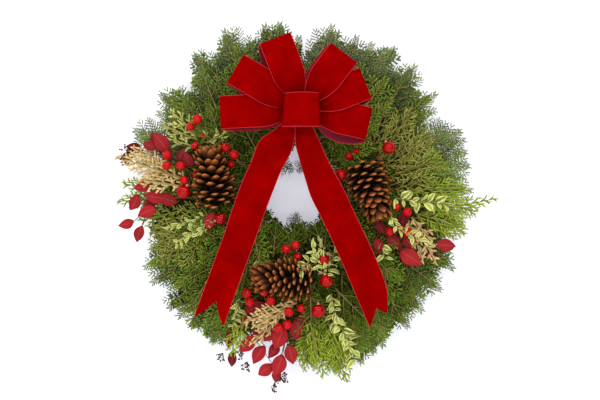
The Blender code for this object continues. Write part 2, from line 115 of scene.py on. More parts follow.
def mark(tree, name):
    """A number stored on the piece's points."""
    return node(tree, "Attribute", attribute_name=name).outputs["Fac"]


def mixed(tree, share, first, second):
    """A colour between two, first where share is 0 and second where it is 1."""
    sockets = {
        0: share,
        6: (*first, 1) if isinstance(first, tuple) else first,
        7: (*second, 1) if isinstance(second, tuple) else second,
    }
    return node(tree, "Mix", sockets, data_type="RGBA").outputs[2]


enamel, tree, shader = finish("green_enamel", Roughness=0.32, Coat_Weight=0.4)
colour, height = mottled(tree, 0.35, (0.006, 0.030, 0.012), (0.030, 0.085, 0.040), 240.0, 0.7)
surface(tree, shader, colour, height, 0.0002)

bare_wire, tree, shader = finish("florist_wire", Metallic=1.0, Roughness=0.38)
colour, height = mottled(tree, 0.5, (0.10, 0.11, 0.09), (0.34, 0.35, 0.30), 420.0, 0.9)
surface(tree, shader, colour, height, 0.0001)

for name, metal in (
    ("wire_frame", enamel), ("hanging_loop", bare_wire), ("binding_wire", bare_wire), ("bow_wire", bare_wire),
):
    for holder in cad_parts[name].material_slots:
        holder.material = metal

# ---------------------------------------------------------------- fir boughs
# Ten bundles of cut balsam tips, each laid over the stems of the last and bound to the rails.
# A tip is a tan stem with paired side twigs; its flat needles stand in two ranks and a thin top one.

HANG_DROP = 0.2218  # the ring's centre is this far under the nail


def spot(x, z, depth):
    """A place by the ring's centre: x to the right, z up, and depth out from the wall."""
    return np.stack(np.broadcast_arrays(x, -np.asarray(depth, float), np.asarray(z) - HANG_DROP), axis=-1)


def unit(v):
    return v / np.linalg.norm(v, axis=-1, keepdims=True)


def rods(path, out, width, thick, sides=4, cup=0.0):
    """Closed tapering rods, one for each row of path (rods, steps, 3).

    Every step has an oval ring square to the path: width along the side direction times the cosine,
    plus thick along out times the sine. cup raises both edges by the cosine squared. Fans close the ends.
    Marks: along is 0 at the foot and 1 at the end, and across is the cosine.
    """
    count, steps = path.shape[:2]
    width, thick = (np.broadcast_to(size, (count, steps)) for size in (width, thick))
    run = unit(np.gradient(path, axis=1))
    out = unit(out - (out * run).sum(-1, keepdims=True) * run)
    side = np.cross(out, run)
    turn = np.arange(sides) * tau / sides
    wide = width[..., None] * np.cos(turn)
    high = thick[..., None] * np.sin(turn) + cup * width[..., None] * np.cos(turn) ** 2
    ring = path[:, :, None] + wide[..., None] * side[:, :, None] + high[..., None] * out[:, :, None]
    here = (np.arange(steps - 1)[:, None] * sides + np.arange(sides)).ravel()
    beside = (np.arange(steps - 1)[:, None] * sides + (np.arange(sides) + 1) % sides).ravel()
    wall = np.stack([here, beside, beside + sides, here, beside + sides, here + sides], -1).reshape(-1, 3)
    fan = np.stack([np.zeros(sides - 2, int), np.arange(1, sides - 1), np.arange(2, sides)], -1)
    one = np.concatenate([wall, fan[:, ::-1], fan + (steps - 1) * sides])
    faces = (one[None] + (np.arange(count) * steps * sides)[:, None, None]).reshape(-1, 3)
    marks = {
        "along": np.tile(np.repeat(np.linspace(0, 1, steps), sides), count),
        "across": np.tile(np.cos(turn), steps * count),
    }
    return ring.reshape(-1, 3), faces, marks


def joined(parts):
    """Several (points, faces, marks) made one; a mark that a part lacks is 0 there."""
    starts = np.cumsum([0] + [len(part[0]) for part in parts[:-1]])
    names = sorted({name for part in parts for name in part[2]})
    return (
        np.concatenate([part[0] for part in parts]),
        np.concatenate([part[1] + start for part, start in zip(parts, starts)]),
        {
            name: np.concatenate([np.broadcast_to(part[2].get(name, 0.0), len(part[0])) for part in parts])
            for name in names
        },
    )


def piece(name, shape, finishes, which=0):
    """Makes the mesh object from (points, faces, marks); which is each face's finish."""
    points, faces, marks = shape
    mesh = bpy.data.meshes.new(name)
    mesh.vertices.add(len(points))
    mesh.vertices.foreach_set("co", np.ascontiguousarray(points, np.float32).ravel())
    mesh.loops.add(faces.size)
    mesh.loops.foreach_set("vertex_index", np.ascontiguousarray(faces, np.int32).ravel())
    mesh.polygons.add(len(faces))
    mesh.polygons.foreach_set("loop_start", np.arange(0, faces.size, faces.shape[1], dtype=np.int32))
    mesh.update(calc_edges=True)
    mesh.polygons.foreach_set(
        "material_index", np.ascontiguousarray(np.broadcast_to(which, len(faces)), np.int32)
    )
    for label, values in marks.items():
        made = mesh.attributes.new(label, "FLOAT", "POINT")
        made.data.foreach_set("value", np.ascontiguousarray(values, np.float32))
    mesh.shade_smooth()
    for each in finishes:
        mesh.materials.append(each)
    made = bpy.data.objects.new(name, mesh)
    bpy.context.scene.collection.objects.link(made)
    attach(made, "root")
    return made


def stand_in(name, cad_node, shape, finishes, which=0):
    """Makes a piece that takes the place of a CAD node."""
    made = piece(name, shape, finishes, which)
    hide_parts(cad_node)


def wooden(shape):
    """Marks the whole of a shape as wood."""
    shape[2]["wood"] = np.ones(len(shape[0]))
    return shape


def needles(foot, aim, out, length, width):
    """Flat blunt needles of six points: two edges and a raised midrib, at the narrow foot and the end.

    An edge lies 0.3 of the width from the middle at the foot and 0.45 at the end, and the midrib stands
    0.3 of the width high, falling to 0.18.
    """
    aim = unit(aim)
    out = unit(out - (out * aim).sum(-1, keepdims=True) * aim)
    side = np.cross(out, aim)
    end = foot + aim * np.broadcast_to(length, len(foot))[:, None]
    wide, high = side * width / 2, out * width * 0.3
    six = np.stack([
        foot + wide * 0.6, foot + high, foot - wide * 0.6,
        end + wide * 0.9, end + high * 0.6, end - wide * 0.9,
    ], 1)
    one = np.array([[0, 2, 1], [3, 4, 5], [0, 1, 4], [0, 4, 3], [1, 2, 5], [1, 5, 4], [2, 0, 3], [2, 3, 5]])
    faces = (one[None] + (np.arange(len(foot)) * 6)[:, None, None]).reshape(-1, 3)
    return six.reshape(-1, 3), faces


NEEDLE = 0.0162        # length of a needle
NEEDLE_GAP = 0.0054    # from one to the next on the same side


def fir_tip(chance, length, shares, ranks, thickness):
    """One cut tip, lying along x and facing z, with pairs of twigs at these shares of its length.

    A twig leaves the stem at 38 to 52 degrees, an angle that closes by 15% towards its end, so its place is
    the start plus the length times (cos, sin) of that angle. Needles sit every NEEDLE_GAP on both sides, at
    62 degrees at the foot and 28 at the end; a full tip has half as many again on top, as rank 0.
    """
    twigs = [(0.0, 0.0, length, 0.0)]
    for share in shares:
        for way in (-1, 1):
            if chance.random() < 0.92:
                turn = way * radians(chance.uniform(38, 52))
                reach = length * (0.50 * (1 - share) + 0.09) * chance.uniform(0.8, 1.15)
                start = (share + chance.uniform(-0.03, 0.03)) * length
                twigs.append((start, turn, reach, chance.uniform(-0.05, 0.16) * reach))
    parts = []
    for start, turn, reach, lift in twigs:
        def place(t):
            angle = turn * (1 - 0.15 * t)
            return np.stack([start + reach * t * np.cos(angle), reach * t * np.sin(angle), lift * t**2], -1)

        steps = np.linspace(0, 1, 5)
        girth = (0.0017 if start == 0.0 else 0.0011) * (1 - 0.6 * steps)
        wood = rods(place(steps)[None] + [0.0, 0.0, 0.0014], np.array([0.0, 0.0, 1.0]), girth, girth)
        parts.append((wood[0], wood[1], {"wood": np.ones(len(wood[0])), "tone": np.full(len(wood[0]), 0.5)}))
        count = int(reach / NEEDLE_GAP)
        for rank in ranks:
            t = np.linspace(0.10 if start == 0.0 else 0.05, 1.0, count if rank else count // 2)
            loose = chance.uniform(-1, 1, (4, len(t)))
            opening = radians(62) - radians(34) * t**3 + 0.06 * loose[0]
            swing = turn * (1 - 0.3 * t) + (rank * opening if rank else 0.75 * loose[1])
            rise = 0.14 + 0.10 * loose[2] if rank else 0.62 + 0.2 * loose[2]
            aim = np.stack([np.cos(swing), np.sin(swing), rise], -1)
            long = NEEDLE * (1 - 0.38 * t**4) * (1 + 0.10 * loose[3]) * (1.0 if rank else 0.8)
            points, faces = needles(place(t), aim, np.array([0.0, 0.0, 1.0]), long, thickness)
            tone = 0.34 + 0.24 * loose[3] + 0.22 * t**3
            tone = (tone[:, None] + np.array([-0.20, -0.14, -0.20, 0.10, 0.16, 0.10])).ravel()
            parts.append((points, faces, {"tone": tone}))
    return joined(parts)


def set_out(shape, foot, heading, tilt, roll=0.0, size=1.0, droop=0.0):
    """Stands a shape made along x and facing z on the wreath.

    foot is the place of its cut end, heading its direction round the face, tilt how far it leans out
    from the wall, and roll its turn about its own stem. droop bends it back by the distance squared.
    """
    points, faces, marks = shape
    run = np.array([cos(heading) * cos(tilt), -sin(tilt), sin(heading) * cos(tilt)])
    out = np.array([-cos(heading) * sin(tilt), -cos(tilt), -sin(heading) * sin(tilt)])
    side = np.cross(out, run)
    out, side = out * cos(roll) + side * sin(roll), side * cos(roll) - out * sin(roll)
    local = points * size
    local[:, 2] -= droop * local[:, 0] ** 2
    return foot + local @ np.stack([run, side, out]), faces, marks


# The longest tips, as x and z of the end, in mm from the ring's centre, with how much silver shows
LONG_TIPS = (
    (336, 134, .5), (300, 122, .7), (262, 168, .1), (276, 208, .1), (252, 196, .1), (238, 270, .7),
    (214, 240, .2), (202, 312, .7), (180, 296, .8), (146, 308, .6), (114, 322, .8), (66, 350, .8),
    (74, 330, .7), (-4, 318, .2), (-42, 360, .4), (-76, 354, .1), (-100, 306, .2), (-164, 346, .7),
    (-156, 322, .5), (-130, 296, .1), (-190, 262, .1), (-204, 242, .1), (-228, 296, .8), (-258, 208, .3),
    (-290, 208, .8), (-352, 136, .8), (-340, 120, .8), (-320, 112, .3), (-318, -150, .2), (-302, -182, .4),
    (-272, -240, .1), (-232, -282, .2), (-188, -314, .5), (-160, -300, .1), (174, -312, .2),
    (160, -334, .2), (222, -270, .1), (288, -192, .2), (314, -150, .2), (352, 10, .2), (360, 62, .3),
    (354, 92, .5), (350, 116, .6), (326, -60, .1), (-300, -112, .1), (-130, -286, .1), (132, -356, .2),
    (34, -362, .1), (80, -376, .2), (-210, 236, .2), (300, -130, .1), (330, 38, .2), (250, -236, .1),
)
HOLE = (-0.010, 0.016)      # the opening sits a little above the middle of the frame
HOLE_RADIUS = 0.066
CREST = 0.080               # depth of the boughs where they are thickest
BOUGHS = 10
PRESSED = 0.002             # needles further behind the rails than this are flattened to a fifth
HOLE_TIPS = 80
BACK_TIPS = 48
CLEARINGS = (               # x, z and radius of the places where decorations cover the boughs
    (-0.185, 0.030, 0.070), (-0.245, 0.060, 0.070), (-0.250, -0.020, 0.070), (0.145, 0.014, 0.062),
    (0.210, -0.050, 0.070), (-0.030, -0.170, 0.075), (0.040, -0.170, 0.060), (-0.050, -0.240, 0.070),
    (-0.040, -0.310, 0.060), (0.0, 0.180, 0.090), (0.180, 0.090, 0.050), (-0.125, 0.075, 0.035),
)


def crest(radius):
    """Depth of the boughs' face at a radius: half an ellipse on its side, flat-topped over the rails."""
    rise = np.clip(1 - (np.abs(radius - 0.205) / 0.160) ** 2.4, 0.0, 1.0)
    return 0.022 + CREST * rise**0.6


chance = np.random.default_rng(41)
# Each kind of tip: its length, and the shapes to pick from
OPEN = (0.116, [fir_tip(chance, 0.116, (0.20, 0.47, 0.73), (-1, 1), 0.0028) for _ in range(8)])
FULL = (0.112, [fir_tip(chance, 0.112, (0.18, 0.38, 0.57, 0.75), (-1, 1, 0), 0.0048) for _ in range(4)])
SHORT = (0.060, [fir_tip(chance, 0.060, (0.25, 0.60), (-1, 1), 0.0028) for _ in range(4)])
long_angle = np.arctan2([z for x, z, s in LONG_TIPS], [x for x, z, s in LONG_TIPS])
order = np.argsort(long_angle)
long_angle = long_angle[order]
long_reach = np.array([np.hypot(x, z) / 1000 for x, z, s in LONG_TIPS])[order]
boughs = [[] for _ in range(BOUGHS)]


def plant(end, heading, level, reach, silver, roll, droop, kind=OPEN):
    """Adds one tip to its bough by the place of its end: both ends take their depth from the crest."""
    length, shapes = kind if reach > 0.082 else SHORT
    foot = np.array(end) - reach * np.array([cos(heading), sin(heading)])
    middle = (np.array(end) + foot) / 2
    if any(np.hypot(middle[0] - x, middle[1] - z) < radius for x, z, radius in CLEARINGS):
        level = min(level, 0.70)
    depths = [level * crest(np.hypot(*place)) for place in (foot, end)]
    tilt = np.arcsin(np.clip((depths[1] - depths[0] + 0.014 * level) / reach, -0.5, 0.5))
    shape = shapes[chance.integers(len(shapes))]
    place = spot(*foot, depths[0] - 0.004)
    points, faces, marks = set_out(shape, place, heading, tilt, roll, reach / length, droop)
    shade = chance.uniform(-0.26, 0.26)
    sunlit_right = 0.10 * np.clip((middle[0] - 0.12) / 0.15, 0, 1)     # painted light: the right side's tips are lighter
    marks = {
        "tone": marks["tone"] + shade + sunlit_right,
        "wood": marks["wood"],
        "silver": np.full(len(points), silver),
    }
    # Painted shade: needles deep under the crest of the boughs are darkened, the deeper the darker; those at
    # the very back keep their colour
    radius = np.hypot(points[:, 0], points[:, 2] + HANG_DROP)
    buried_shade = np.clip(1 + points[:, 1] / crest(radius), 0, 0.8) * np.clip((0.36 - radius) / 0.08, 0.35, 1)
    marks["tone"] = marks["tone"] + 0.08 - 0.90 * buried_shade * np.clip(-points[:, 1] / 0.012, 0, 1)
    under = points[:, 1] > PRESSED
    points[under, 1] = PRESSED + 0.2 * (points[under, 1] - PRESSED)
    where = np.degrees(np.arctan2(middle[1], middle[0]))
    boughs[int(round((where - 108) / 36)) % BOUGHS].append((points, faces, marks))


for x, z, silver in LONG_TIPS:
    aim = np.arctan2(z, x)
    plant((x / 1000, z / 1000), aim + chance.uniform(-0.22, 0.22), 0.8, 0.112, silver, 0.2, 0.6)
    # Fuller growth lies behind it, twice at the bottom of the wreath and once at the top
    for k in range(2 if z < -60 else 1 if z > 150 else 0):
        share = 1060 + 70 * k
        level = 0.45 - 0.12 * k
        heading = aim + chance.uniform(-0.3, 0.3)
        plant((x / share, z / share), heading, level, 0.112, 0.5 * silver, 0.1, 0.6, FULL)
LAYERS = (  # count, reach of the ends against the outline, level, spread of headings, silver, kind
    (92, (0.78, 0.89), (0.15, 0.40), 0.30, 0.05, FULL),
    (34, (0.82, 0.94), (0.70, 0.95), 0.30, 0.25, OPEN),
    (54, (0.68, 0.80), (0.20, 0.50), 0.45, 0.0, FULL),
    (34, (0.68, 0.84), (0.92, 1.08), 0.40, 0.04, OPEN),
    (50, (0.54, 0.68), (0.25, 0.55), 0.7, 0.0, FULL),
    (30, (0.54, 0.70), (0.95, 1.12), 0.6, 0.0, OPEN),
    (34, (0.42, 0.56), (0.35, 0.65), 1.1, 0.0, FULL),
    (20, (0.42, 0.54), (0.95, 1.10), 1.0, 0.0, OPEN),
)
for layer, (count, reach, level, spread, silver, kind) in enumerate(LAYERS):
    for k in range(count):
        angle = tau * (k + 0.37 * layer + chance.uniform(-0.3, 0.3)) / count
        edge = np.interp(angle, long_angle, long_reach, period=tau)
        radius = edge * chance.uniform(*reach) * (1.06 if sin(angle) < 0.2 else 0.96)
        heading = angle + spread * chance.uniform(-1, 1) - 0.12
        frost = silver * chance.uniform(0.2, 1.3) * (0.45 if sin(angle) < 0 else 1.0)
        longest = max(radius - 0.094, 0.040)
        plant(
            (radius * cos(angle), radius * sin(angle)), heading, chance.uniform(*level),
            min(chance.uniform(0.104, 0.134), longest), frost, chance.normal(0, 0.16),
            chance.uniform(-0.4, 1.2), kind,
        )
for k in range(HOLE_TIPS):  # tips that turn in to the hole, full ones under short ones
    angle = tau * (k + chance.uniform(-0.3, 0.3)) / HOLE_TIPS
    under = k % 2
    radius = HOLE_RADIUS + chance.uniform(0.004, 0.030) + 0.006 * under
    end = (HOLE[0] + radius * cos(angle), HOLE[1] + radius * sin(angle))
    level = chance.uniform(0.30, 0.55) if under else chance.uniform(0.60, 1.05)
    heading = angle + pi + chance.uniform(-0.5, 0.5)
    reach = 0.084 if under else chance.uniform(0.050, 0.070)
    plant(end, heading, level, reach, 0.0, chance.normal(0, 0.2), 0.5, FULL)
for end, heading, reach in (  # three small tips that stray into the hole
    ((-0.014, 0.052), -0.4, 0.045), ((-0.004, 0.044), 4.2, 0.036), ((-0.006, -0.034), 1.4, 0.040),
):
    plant(end, heading, 0.7, reach, 0.0, 0.2, 0.5)
for k in range(BACK_TIPS):  # the backs of the bundles, pressed flat on the rails
    angle = tau * (k + chance.uniform(-0.3, 0.3)) / BACK_TIPS
    radius = chance.uniform(0.22, 0.32)
    heading = angle + chance.uniform(-0.5, 0.5)
    level = chance.uniform(0.02, 0.14)
    reach = chance.uniform(0.09, 0.12)
    silver = chance.uniform(0.2, 0.7)
    roll = pi + chance.normal(0, 0.3)
    plant((radius * cos(angle), radius * sin(angle)), heading, level, reach, silver, roll, 0.0, FULL)

fir, tree, shader = finish("fir_needles", Roughness=0.6, Specular_IOR_Level=0.10)
green, height = mottled(tree, mark(tree, "tone"), (0.009, 0.020, 0.001), (0.250, 0.400, 0.028), 60.0, 0.25)
frost = maths(tree, "MULTIPLY", mark(tree, "silver"), 0.30, clamp=True)
needle = mixed(tree, frost, green, (0.46, 0.55, 0.36))
bark, _ = mottled(tree, 0.5, (0.16, 0.105, 0.030), (0.46, 0.34, 0.12), 260.0, 0.8)
surface(tree, shader, mixed(tree, mark(tree, "wood"), needle, bark), height, 0.0006, 0.4)

for k, sprigs in enumerate(boughs):
    stand_in(f"fir_sprigs_{k + 1:02d}", f"fir_bough_{k + 1:02d}", joined(sprigs), [fir])

# ---------------------------------------------------------------- flat sprays
# Cuttings of cedar, golden cypress, juniper and gilded foliage, wired in under the decorations.
# Scale leaves overlap along every branchlet, so it swells and narrows like a string of beads.


def frond(length, width, chance, gap=0.0090, fine=0.0054, angle=44, loose=0.12, body=0.0013, bead=0.32):
    """A spray lying along x and facing z.

    Branches leave the stem in turn, every gap, and reach to a leaf-shaped outline: half the width times
    a rise to 40% of the length and a fall to the tip. Branchlets leave each branch every fine metres.
    Each rod's place is its start plus its length times (cos, sin) of an angle that closes towards its end,
    and its girth is body times a taper and a ripple.
    """
    starts, turns, runs, tones, lifts, wood = [[0.0, 0.0]], [0.0], [length], [0.4], [0.0], [1.0]
    count = max(4, int(length / gap))
    for k in range(count):
        t = (k + 0.5) / count
        way = 1 if k % 2 else -1
        lean = radians(angle) * (1 - 0.35 * t) * (1 + 0.5 * loose * chance.uniform(-1, 1))
        outline = np.clip(t / 0.4, 0.35, 1.0) * (1 - t**2.4) + 0.10
        reach = width / 2 / sin(radians(angle)) * outline * chance.uniform(0.85, 1.1)
        lift = loose * reach * chance.uniform(-1, 1)
        starts.append([t * length, 0.0])
        turns.append(way * lean)
        runs.append(reach)
        tones.append(0.45)
        lifts.append(lift)
        wood.append(0.6)
        inner = max(2, int(reach / fine))
        for j in range(inner):
            u = (j + 0.8) / (inner + 0.3)
            hand = 1 if j % 2 else -1
            bent = way * lean * (1 - 0.12 * u)
            starts.append([t * length + u * reach * cos(bent), u * reach * sin(bent)])
            spread = hand * radians(36) * (1 + 2 * loose * chance.uniform(-1, 1))
            turns.append(way * lean * (1 - 0.25 * u) + spread)
            runs.append((0.34 * reach * (1 - u) + 0.0065) * chance.uniform(0.8, 1.2))
            tones.append(0.45 + 0.3 * u + 0.2 * chance.uniform(-1, 1))
            lifts.append(lift * u + loose * 0.012 * chance.uniform(-1, 1))
            wood.append(0.0)
    starts, turns, runs = np.array(starts), np.array(turns)[:, None], np.array(runs)[:, None]
    lifts, wood = np.array(lifts)[:, None], np.array(wood)
    t = np.linspace(0, 1, 9)[None]
    bent = turns * (1 - 0.15 * t)
    rise = np.where(wood[:, None] > 0, lifts * t**2, lifts + 0.15 * runs * t)
    path = np.stack([
        starts[:, :1] + runs * t * np.cos(bent), starts[:, 1:] + runs * t * np.sin(bent), rise,
    ], -1)
    ripple = 1 + bead * np.cos(pi * np.arange(9))[None] * (wood[:, None] < 0.9)
    girth = body * (1 - 0.55 * t) * ripple
    points, faces, marks = rods(path, np.array([0.0, 0.0, 1.0]), girth, girth * 0.62)
    each = len(points) // len(starts)
    tone = np.repeat(tones, each) + 0.22 * marks["along"] - 0.06
    bare = np.repeat(wood, each) * np.clip(1.2 - 1.6 * marks["along"], 0, 1)
    return points, faces, {"tone": tone, "wood": bare}


def foliage(name, dark, light, bark, roughness, grain, amount):
    """Finish for scale foliage: mottled between two colours, brown towards the foot of its stems."""
    made, tree, shader = finish(name, Roughness=roughness, Specular_IOR_Level=0.15)
    leaf, height = mottled(tree, mark(tree, "tone"), dark, light, grain, amount)
    surface(tree, shader, mixed(tree, mark(tree, "wood"), leaf, bark), height, 0.0005)
    return made


cedar = foliage("cedar", (0.060, 0.110, 0.003), (0.480, 0.600, 0.050), (0.25, 0.20, 0.06), 0.5, 130.0, 0.5)
cypress = foliage(
    "golden_cypress", (0.14, 0.18, 0.01), (0.86, 0.86, 0.26), (0.30, 0.24, 0.07), 0.5, 120.0, 0.5
)
juniper = foliage("juniper", (0.040, 0.055, 0.006), (0.50, 0.52, 0.10), (0.24, 0.090, 0.03), 0.55, 120.0, 0.6)
gilding = foliage(
    "gilded_foliage", (0.24, 0.13, 0.03), (0.96, 0.73, 0.33), (0.36, 0.22, 0.07), 0.45, 150.0, 0.7
)
WORK = {  # how coarse a kind's branchlets are, where it differs from a frond's usual
    "gilded_spray": {"gap": 0.0088, "fine": 0.0060, "body": 0.0024, "bead": 0.42},
    "cedar_spray": {"body": 0.0019},
    "golden_cypress": {"gap": 0.0110, "fine": 0.0074, "body": 0.0022, "bead": 0.45},
}
SPRAYS = (  # node, slot, finish, looseness, then fronds: foot and end (x and z), width, depth
    ("cedar_spray_left", "cedar_spray", cedar, 0.12, (
        (-0.236, -0.004, -0.366, -0.010, 0.050, 0.080), (-0.240, 0.000, -0.356, 0.024, 0.050, 0.070),
        (-0.236, -0.030, -0.322, -0.052, 0.050, 0.072), (-0.226, 0.040, -0.330, 0.062, 0.050, 0.074),
    )),
    ("cedar_spray_right", "cedar_spray", cedar, 0.10, (
        (0.240, -0.036, 0.394, -0.012, 0.042, 0.096), (0.226, -0.006, 0.352, -0.030, 0.064, 0.100),
        (0.230, -0.036, 0.322, -0.064, 0.066, 0.100), (0.216, 0.010, 0.330, 0.014, 0.060, 0.094),
        (0.250, -0.060, 0.330, -0.076, 0.050, 0.080),
    )),
    ("cedar_spray_bottom", "cedar_spray", cedar, 0.10, (
        (0.014, -0.240, 0.010, -0.350, 0.046, 0.090), (0.030, -0.240, 0.048, -0.362, 0.056, 0.094),
        (0.040, -0.236, 0.094, -0.374, 0.060, 0.088), (0.050, -0.244, 0.084, -0.320, 0.056, 0.098),
        (0.020, -0.250, 0.034, -0.330, 0.044, 0.102), (-0.128, -0.250, -0.136, -0.318, 0.040, 0.096),
        (-0.112, -0.236, -0.124, -0.300, 0.040, 0.100),
    )),
    ("golden_cypress_left", "golden_cypress", cypress, 0.22, (
        (-0.200, 0.108, -0.276, 0.140, 0.040, 0.094), (-0.196, 0.112, -0.256, 0.166, 0.044, 0.100),
        (-0.190, 0.110, -0.206, 0.156, 0.036, 0.104), (-0.186, 0.104, -0.150, 0.122, 0.034, 0.108),
        (-0.196, 0.092, -0.262, 0.112, 0.036, 0.098),
    )),
    ("juniper_spray_right", "juniper_twigs", juniper, 0.34, (
        (0.140, 0.080, 0.170, 0.176, 0.070, 0.094), (0.150, 0.070, 0.226, 0.164, 0.076, 0.098),
        (0.164, 0.056, 0.262, 0.122, 0.080, 0.098), (0.176, 0.036, 0.280, 0.070, 0.076, 0.098),
        (0.186, 0.010, 0.268, 0.036, 0.060, 0.100), (0.132, 0.096, 0.130, 0.160, 0.050, 0.088),
        (0.190, 0.050, 0.240, 0.100, 0.050, 0.108),
    )),
    ("juniper_spray_left", "juniper_twigs", juniper, 0.30, (
        (-0.172, -0.042, -0.300, -0.078, 0.056, 0.092), (-0.176, -0.056, -0.296, -0.108, 0.060, 0.096),
        (-0.186, -0.066, -0.282, -0.134, 0.052, 0.092), (-0.160, -0.030, -0.240, -0.030, 0.050, 0.098),
        (-0.176, -0.070, -0.240, -0.140, 0.040, 0.098),
    )),
    ("gilded_spray_left", "gilded_spray", gilding, 0.05, (
        (-0.226, 0.030, -0.364, 0.078, 0.056, 0.112), (-0.226, 0.016, -0.318, 0.030, 0.046, 0.118),
        (-0.262, 0.056, -0.334, 0.092, 0.034, 0.106),
    )),
    ("gilded_spray_bottom", "gilded_spray", gilding, 0.05, (
        (-0.006, -0.214, -0.106, -0.252, 0.044, 0.116), (-0.020, -0.226, -0.096, -0.298, 0.034, 0.112),
        (-0.014, -0.220, -0.090, -0.262, 0.040, 0.120),
    )),
    ("gilded_spray_right", "gilded_spray", gilding, 0.08, (
        (0.222, -0.044, 0.268, -0.100, 0.034, 0.116), (0.230, -0.060, 0.270, -0.134, 0.030, 0.114),
        (0.216, -0.050, 0.246, -0.132, 0.026, 0.110),
    )),
)
chance = np.random.default_rng(7)
for name, slot, colour, loose, fronds in SPRAYS:
    parts = []
    for x, z, end_x, end_z, width, depth in fronds:
        reach = np.hypot(end_x - x, end_z - z)
        shape = frond(reach, width, chance, loose=loose, **WORK.get(slot, {}))
        heading = np.arctan2(end_z - z, end_x - x)
        parts.append(set_out(shape, spot(x, z, depth), heading, 0.05, chance.uniform(-0.3, 0.3), 1.0, 0.8))
    stand_in(f"{name}_fronds", name, joined(parts), [colour])

# ---------------------------------------------------------------- variegated sprigs
# Sprigs of small oval leaves in pairs, green with a cream margin, on thin pale stems.


def blades(middle, aim, out, length, share, droop, cup, steps=8, sides=8, thick=0.0003):
    """Oval leaves with a pointed tip.

    Half the width is length times share times a sine that leans to the foot. The leaf bends back by droop
    times the distance from its middle squared, and its edges lift by cup.
    """
    t = np.linspace(0.0, 1.0, steps)
    aim, out = unit(aim), unit(out)
    away = (t - 0.5)[None, :, None] * length[:, None, None]
    bow = (t[None, :, None] - 0.4) ** 2 * (droop * length)[:, None, None]
    path = middle[:, None] + aim[:, None] * away - out[:, None] * bow
    half = np.sin(pi * np.clip(t, 0.025, 0.975) ** 0.86) ** 0.85 * np.where(t > 0.8, 1.04 - 0.2 * t, 0.88)
    width = length[:, None] * share / 2 * half[None] / 0.88
    return rods(path, out[:, None], width, thick, sides, cup)


VARIEGATED = (  # node, then sprigs: foot, end (x and z), depth, leaf length
    ("variegated_sprig_left", (
        (-0.180, -0.040, -0.262, -0.066, 0.112, 0.016), (-0.184, -0.050, -0.246, -0.096, 0.110, 0.016),
        (-0.176, -0.046, -0.204, -0.080, 0.116, 0.015),
    )),
    ("variegated_sprig_right", (
        (0.178, -0.040, 0.198, -0.072, 0.128, 0.019), (0.198, -0.068, 0.252, -0.096, 0.130, 0.022),
        (0.190, -0.006, 0.232, -0.014, 0.112, 0.022), (0.232, -0.012, 0.296, -0.018, 0.108, 0.024),
        (0.160, -0.092, 0.170, -0.128, 0.108, 0.022),
    )),
    ("variegated_sprig_inner", (
        (0.046, -0.160, 0.024, -0.100, 0.118, 0.019), (0.050, -0.160, 0.040, -0.090, 0.122, 0.018),
        (0.056, -0.150, 0.074, -0.096, 0.118, 0.020), (0.020, -0.130, 0.000, -0.150, 0.120, 0.018),
    )),
    ("variegated_sprig_bottom", (
        (0.062, -0.196, 0.074, -0.254, 0.112, 0.022), (0.070, -0.236, 0.100, -0.306, 0.108, 0.024),
        (-0.084, -0.130, -0.070, -0.170, 0.104, 0.017), (0.088, -0.270, 0.112, -0.330, 0.098, 0.022),
        (-0.120, -0.206, -0.134, -0.262, 0.100, 0.016),
    )),
)
VIEWER = np.array([0.0, -1.0, 0.0])
sprig_leaf, tree, shader = finish("variegated_leaf", Roughness=0.42, Specular_IOR_Level=0.25)
green, height = mottled(tree, mark(tree, "tone"), (0.070, 0.140, 0.008), (0.520, 0.600, 0.100), 190.0, 0.8)
edge = maths(tree, "ABSOLUTE", mark(tree, "across"))
ragged = maths(tree, "MULTIPLY_ADD", height, 0.55, edge)
margin = node(tree, "MapRange", {"Value": ragged, "From Min": 0.55, "From Max": 1.0}).outputs[0]
blade = mixed(tree, margin, green, (0.84, 0.84, 0.30))
surface(tree, shader, mixed(tree, mark(tree, "wood"), blade, (0.33, 0.30, 0.12)), height, 0.0004)
for name, sprigs in VARIEGATED:
    parts = []
    for x, z, end_x, end_z, depth, leaf in sprigs:
        reach = np.hypot(end_x - x, end_z - z)
        heading = np.arctan2(end_z - z, end_x - x)
        count = max(6, int(reach / (leaf * 0.26)))
        t = (np.arange(count) + 0.4) / count
        way = np.where(np.arange(count) % 2, 1.0, -1.0)
        loose = chance.uniform(-1, 1, (4, count))
        turn = heading + way * (radians(52) * (1 - 0.6 * t**2) + 0.8 * loose[0])
        length = leaf * (1.08 - 0.25 * t) * (1 + 0.30 * loose[1])
        aim = np.stack([np.cos(turn), -0.30 - 0.8 * loose[2], np.sin(turn)], -1)
        stem_at = spot(x + (end_x - x) * t, z + (end_z - z) * t, depth + 0.010 * t)
        middle = stem_at + unit(aim) * (0.5 * length[:, None] + 0.001)
        face = VIEWER + 1.3 * np.stack([loose[3], 0 * loose[3], loose[0]], -1)
        blade_shape = blades(middle, aim, face, length, 0.50, 0.5 + 0.4 * loose[1], 0.14)
        blade_shape[2]["tone"] = np.repeat(0.5 + 0.45 * loose[3], len(blade_shape[0]) // count)
        steps = np.linspace(0, 1, 6)
        path = spot(x + (end_x - x) * steps, z + (end_z - z) * steps, depth + 0.010 * steps)
        girth = 0.0009 - 0.0004 * steps
        parts += [blade_shape, wooden(rods(path[None], VIEWER, girth, girth, 5))]
    stand_in(f"{name}_leaves", name, joined(parts), [sprig_leaf])

# ---------------------------------------------------------------- pine cones
# Three open cones. Woody scales leave the core in a spiral and stand out, reflexed at the base and closing
# to the tip; each ends in a thick lighter pad with a small point. A wire under the base holds the cone.

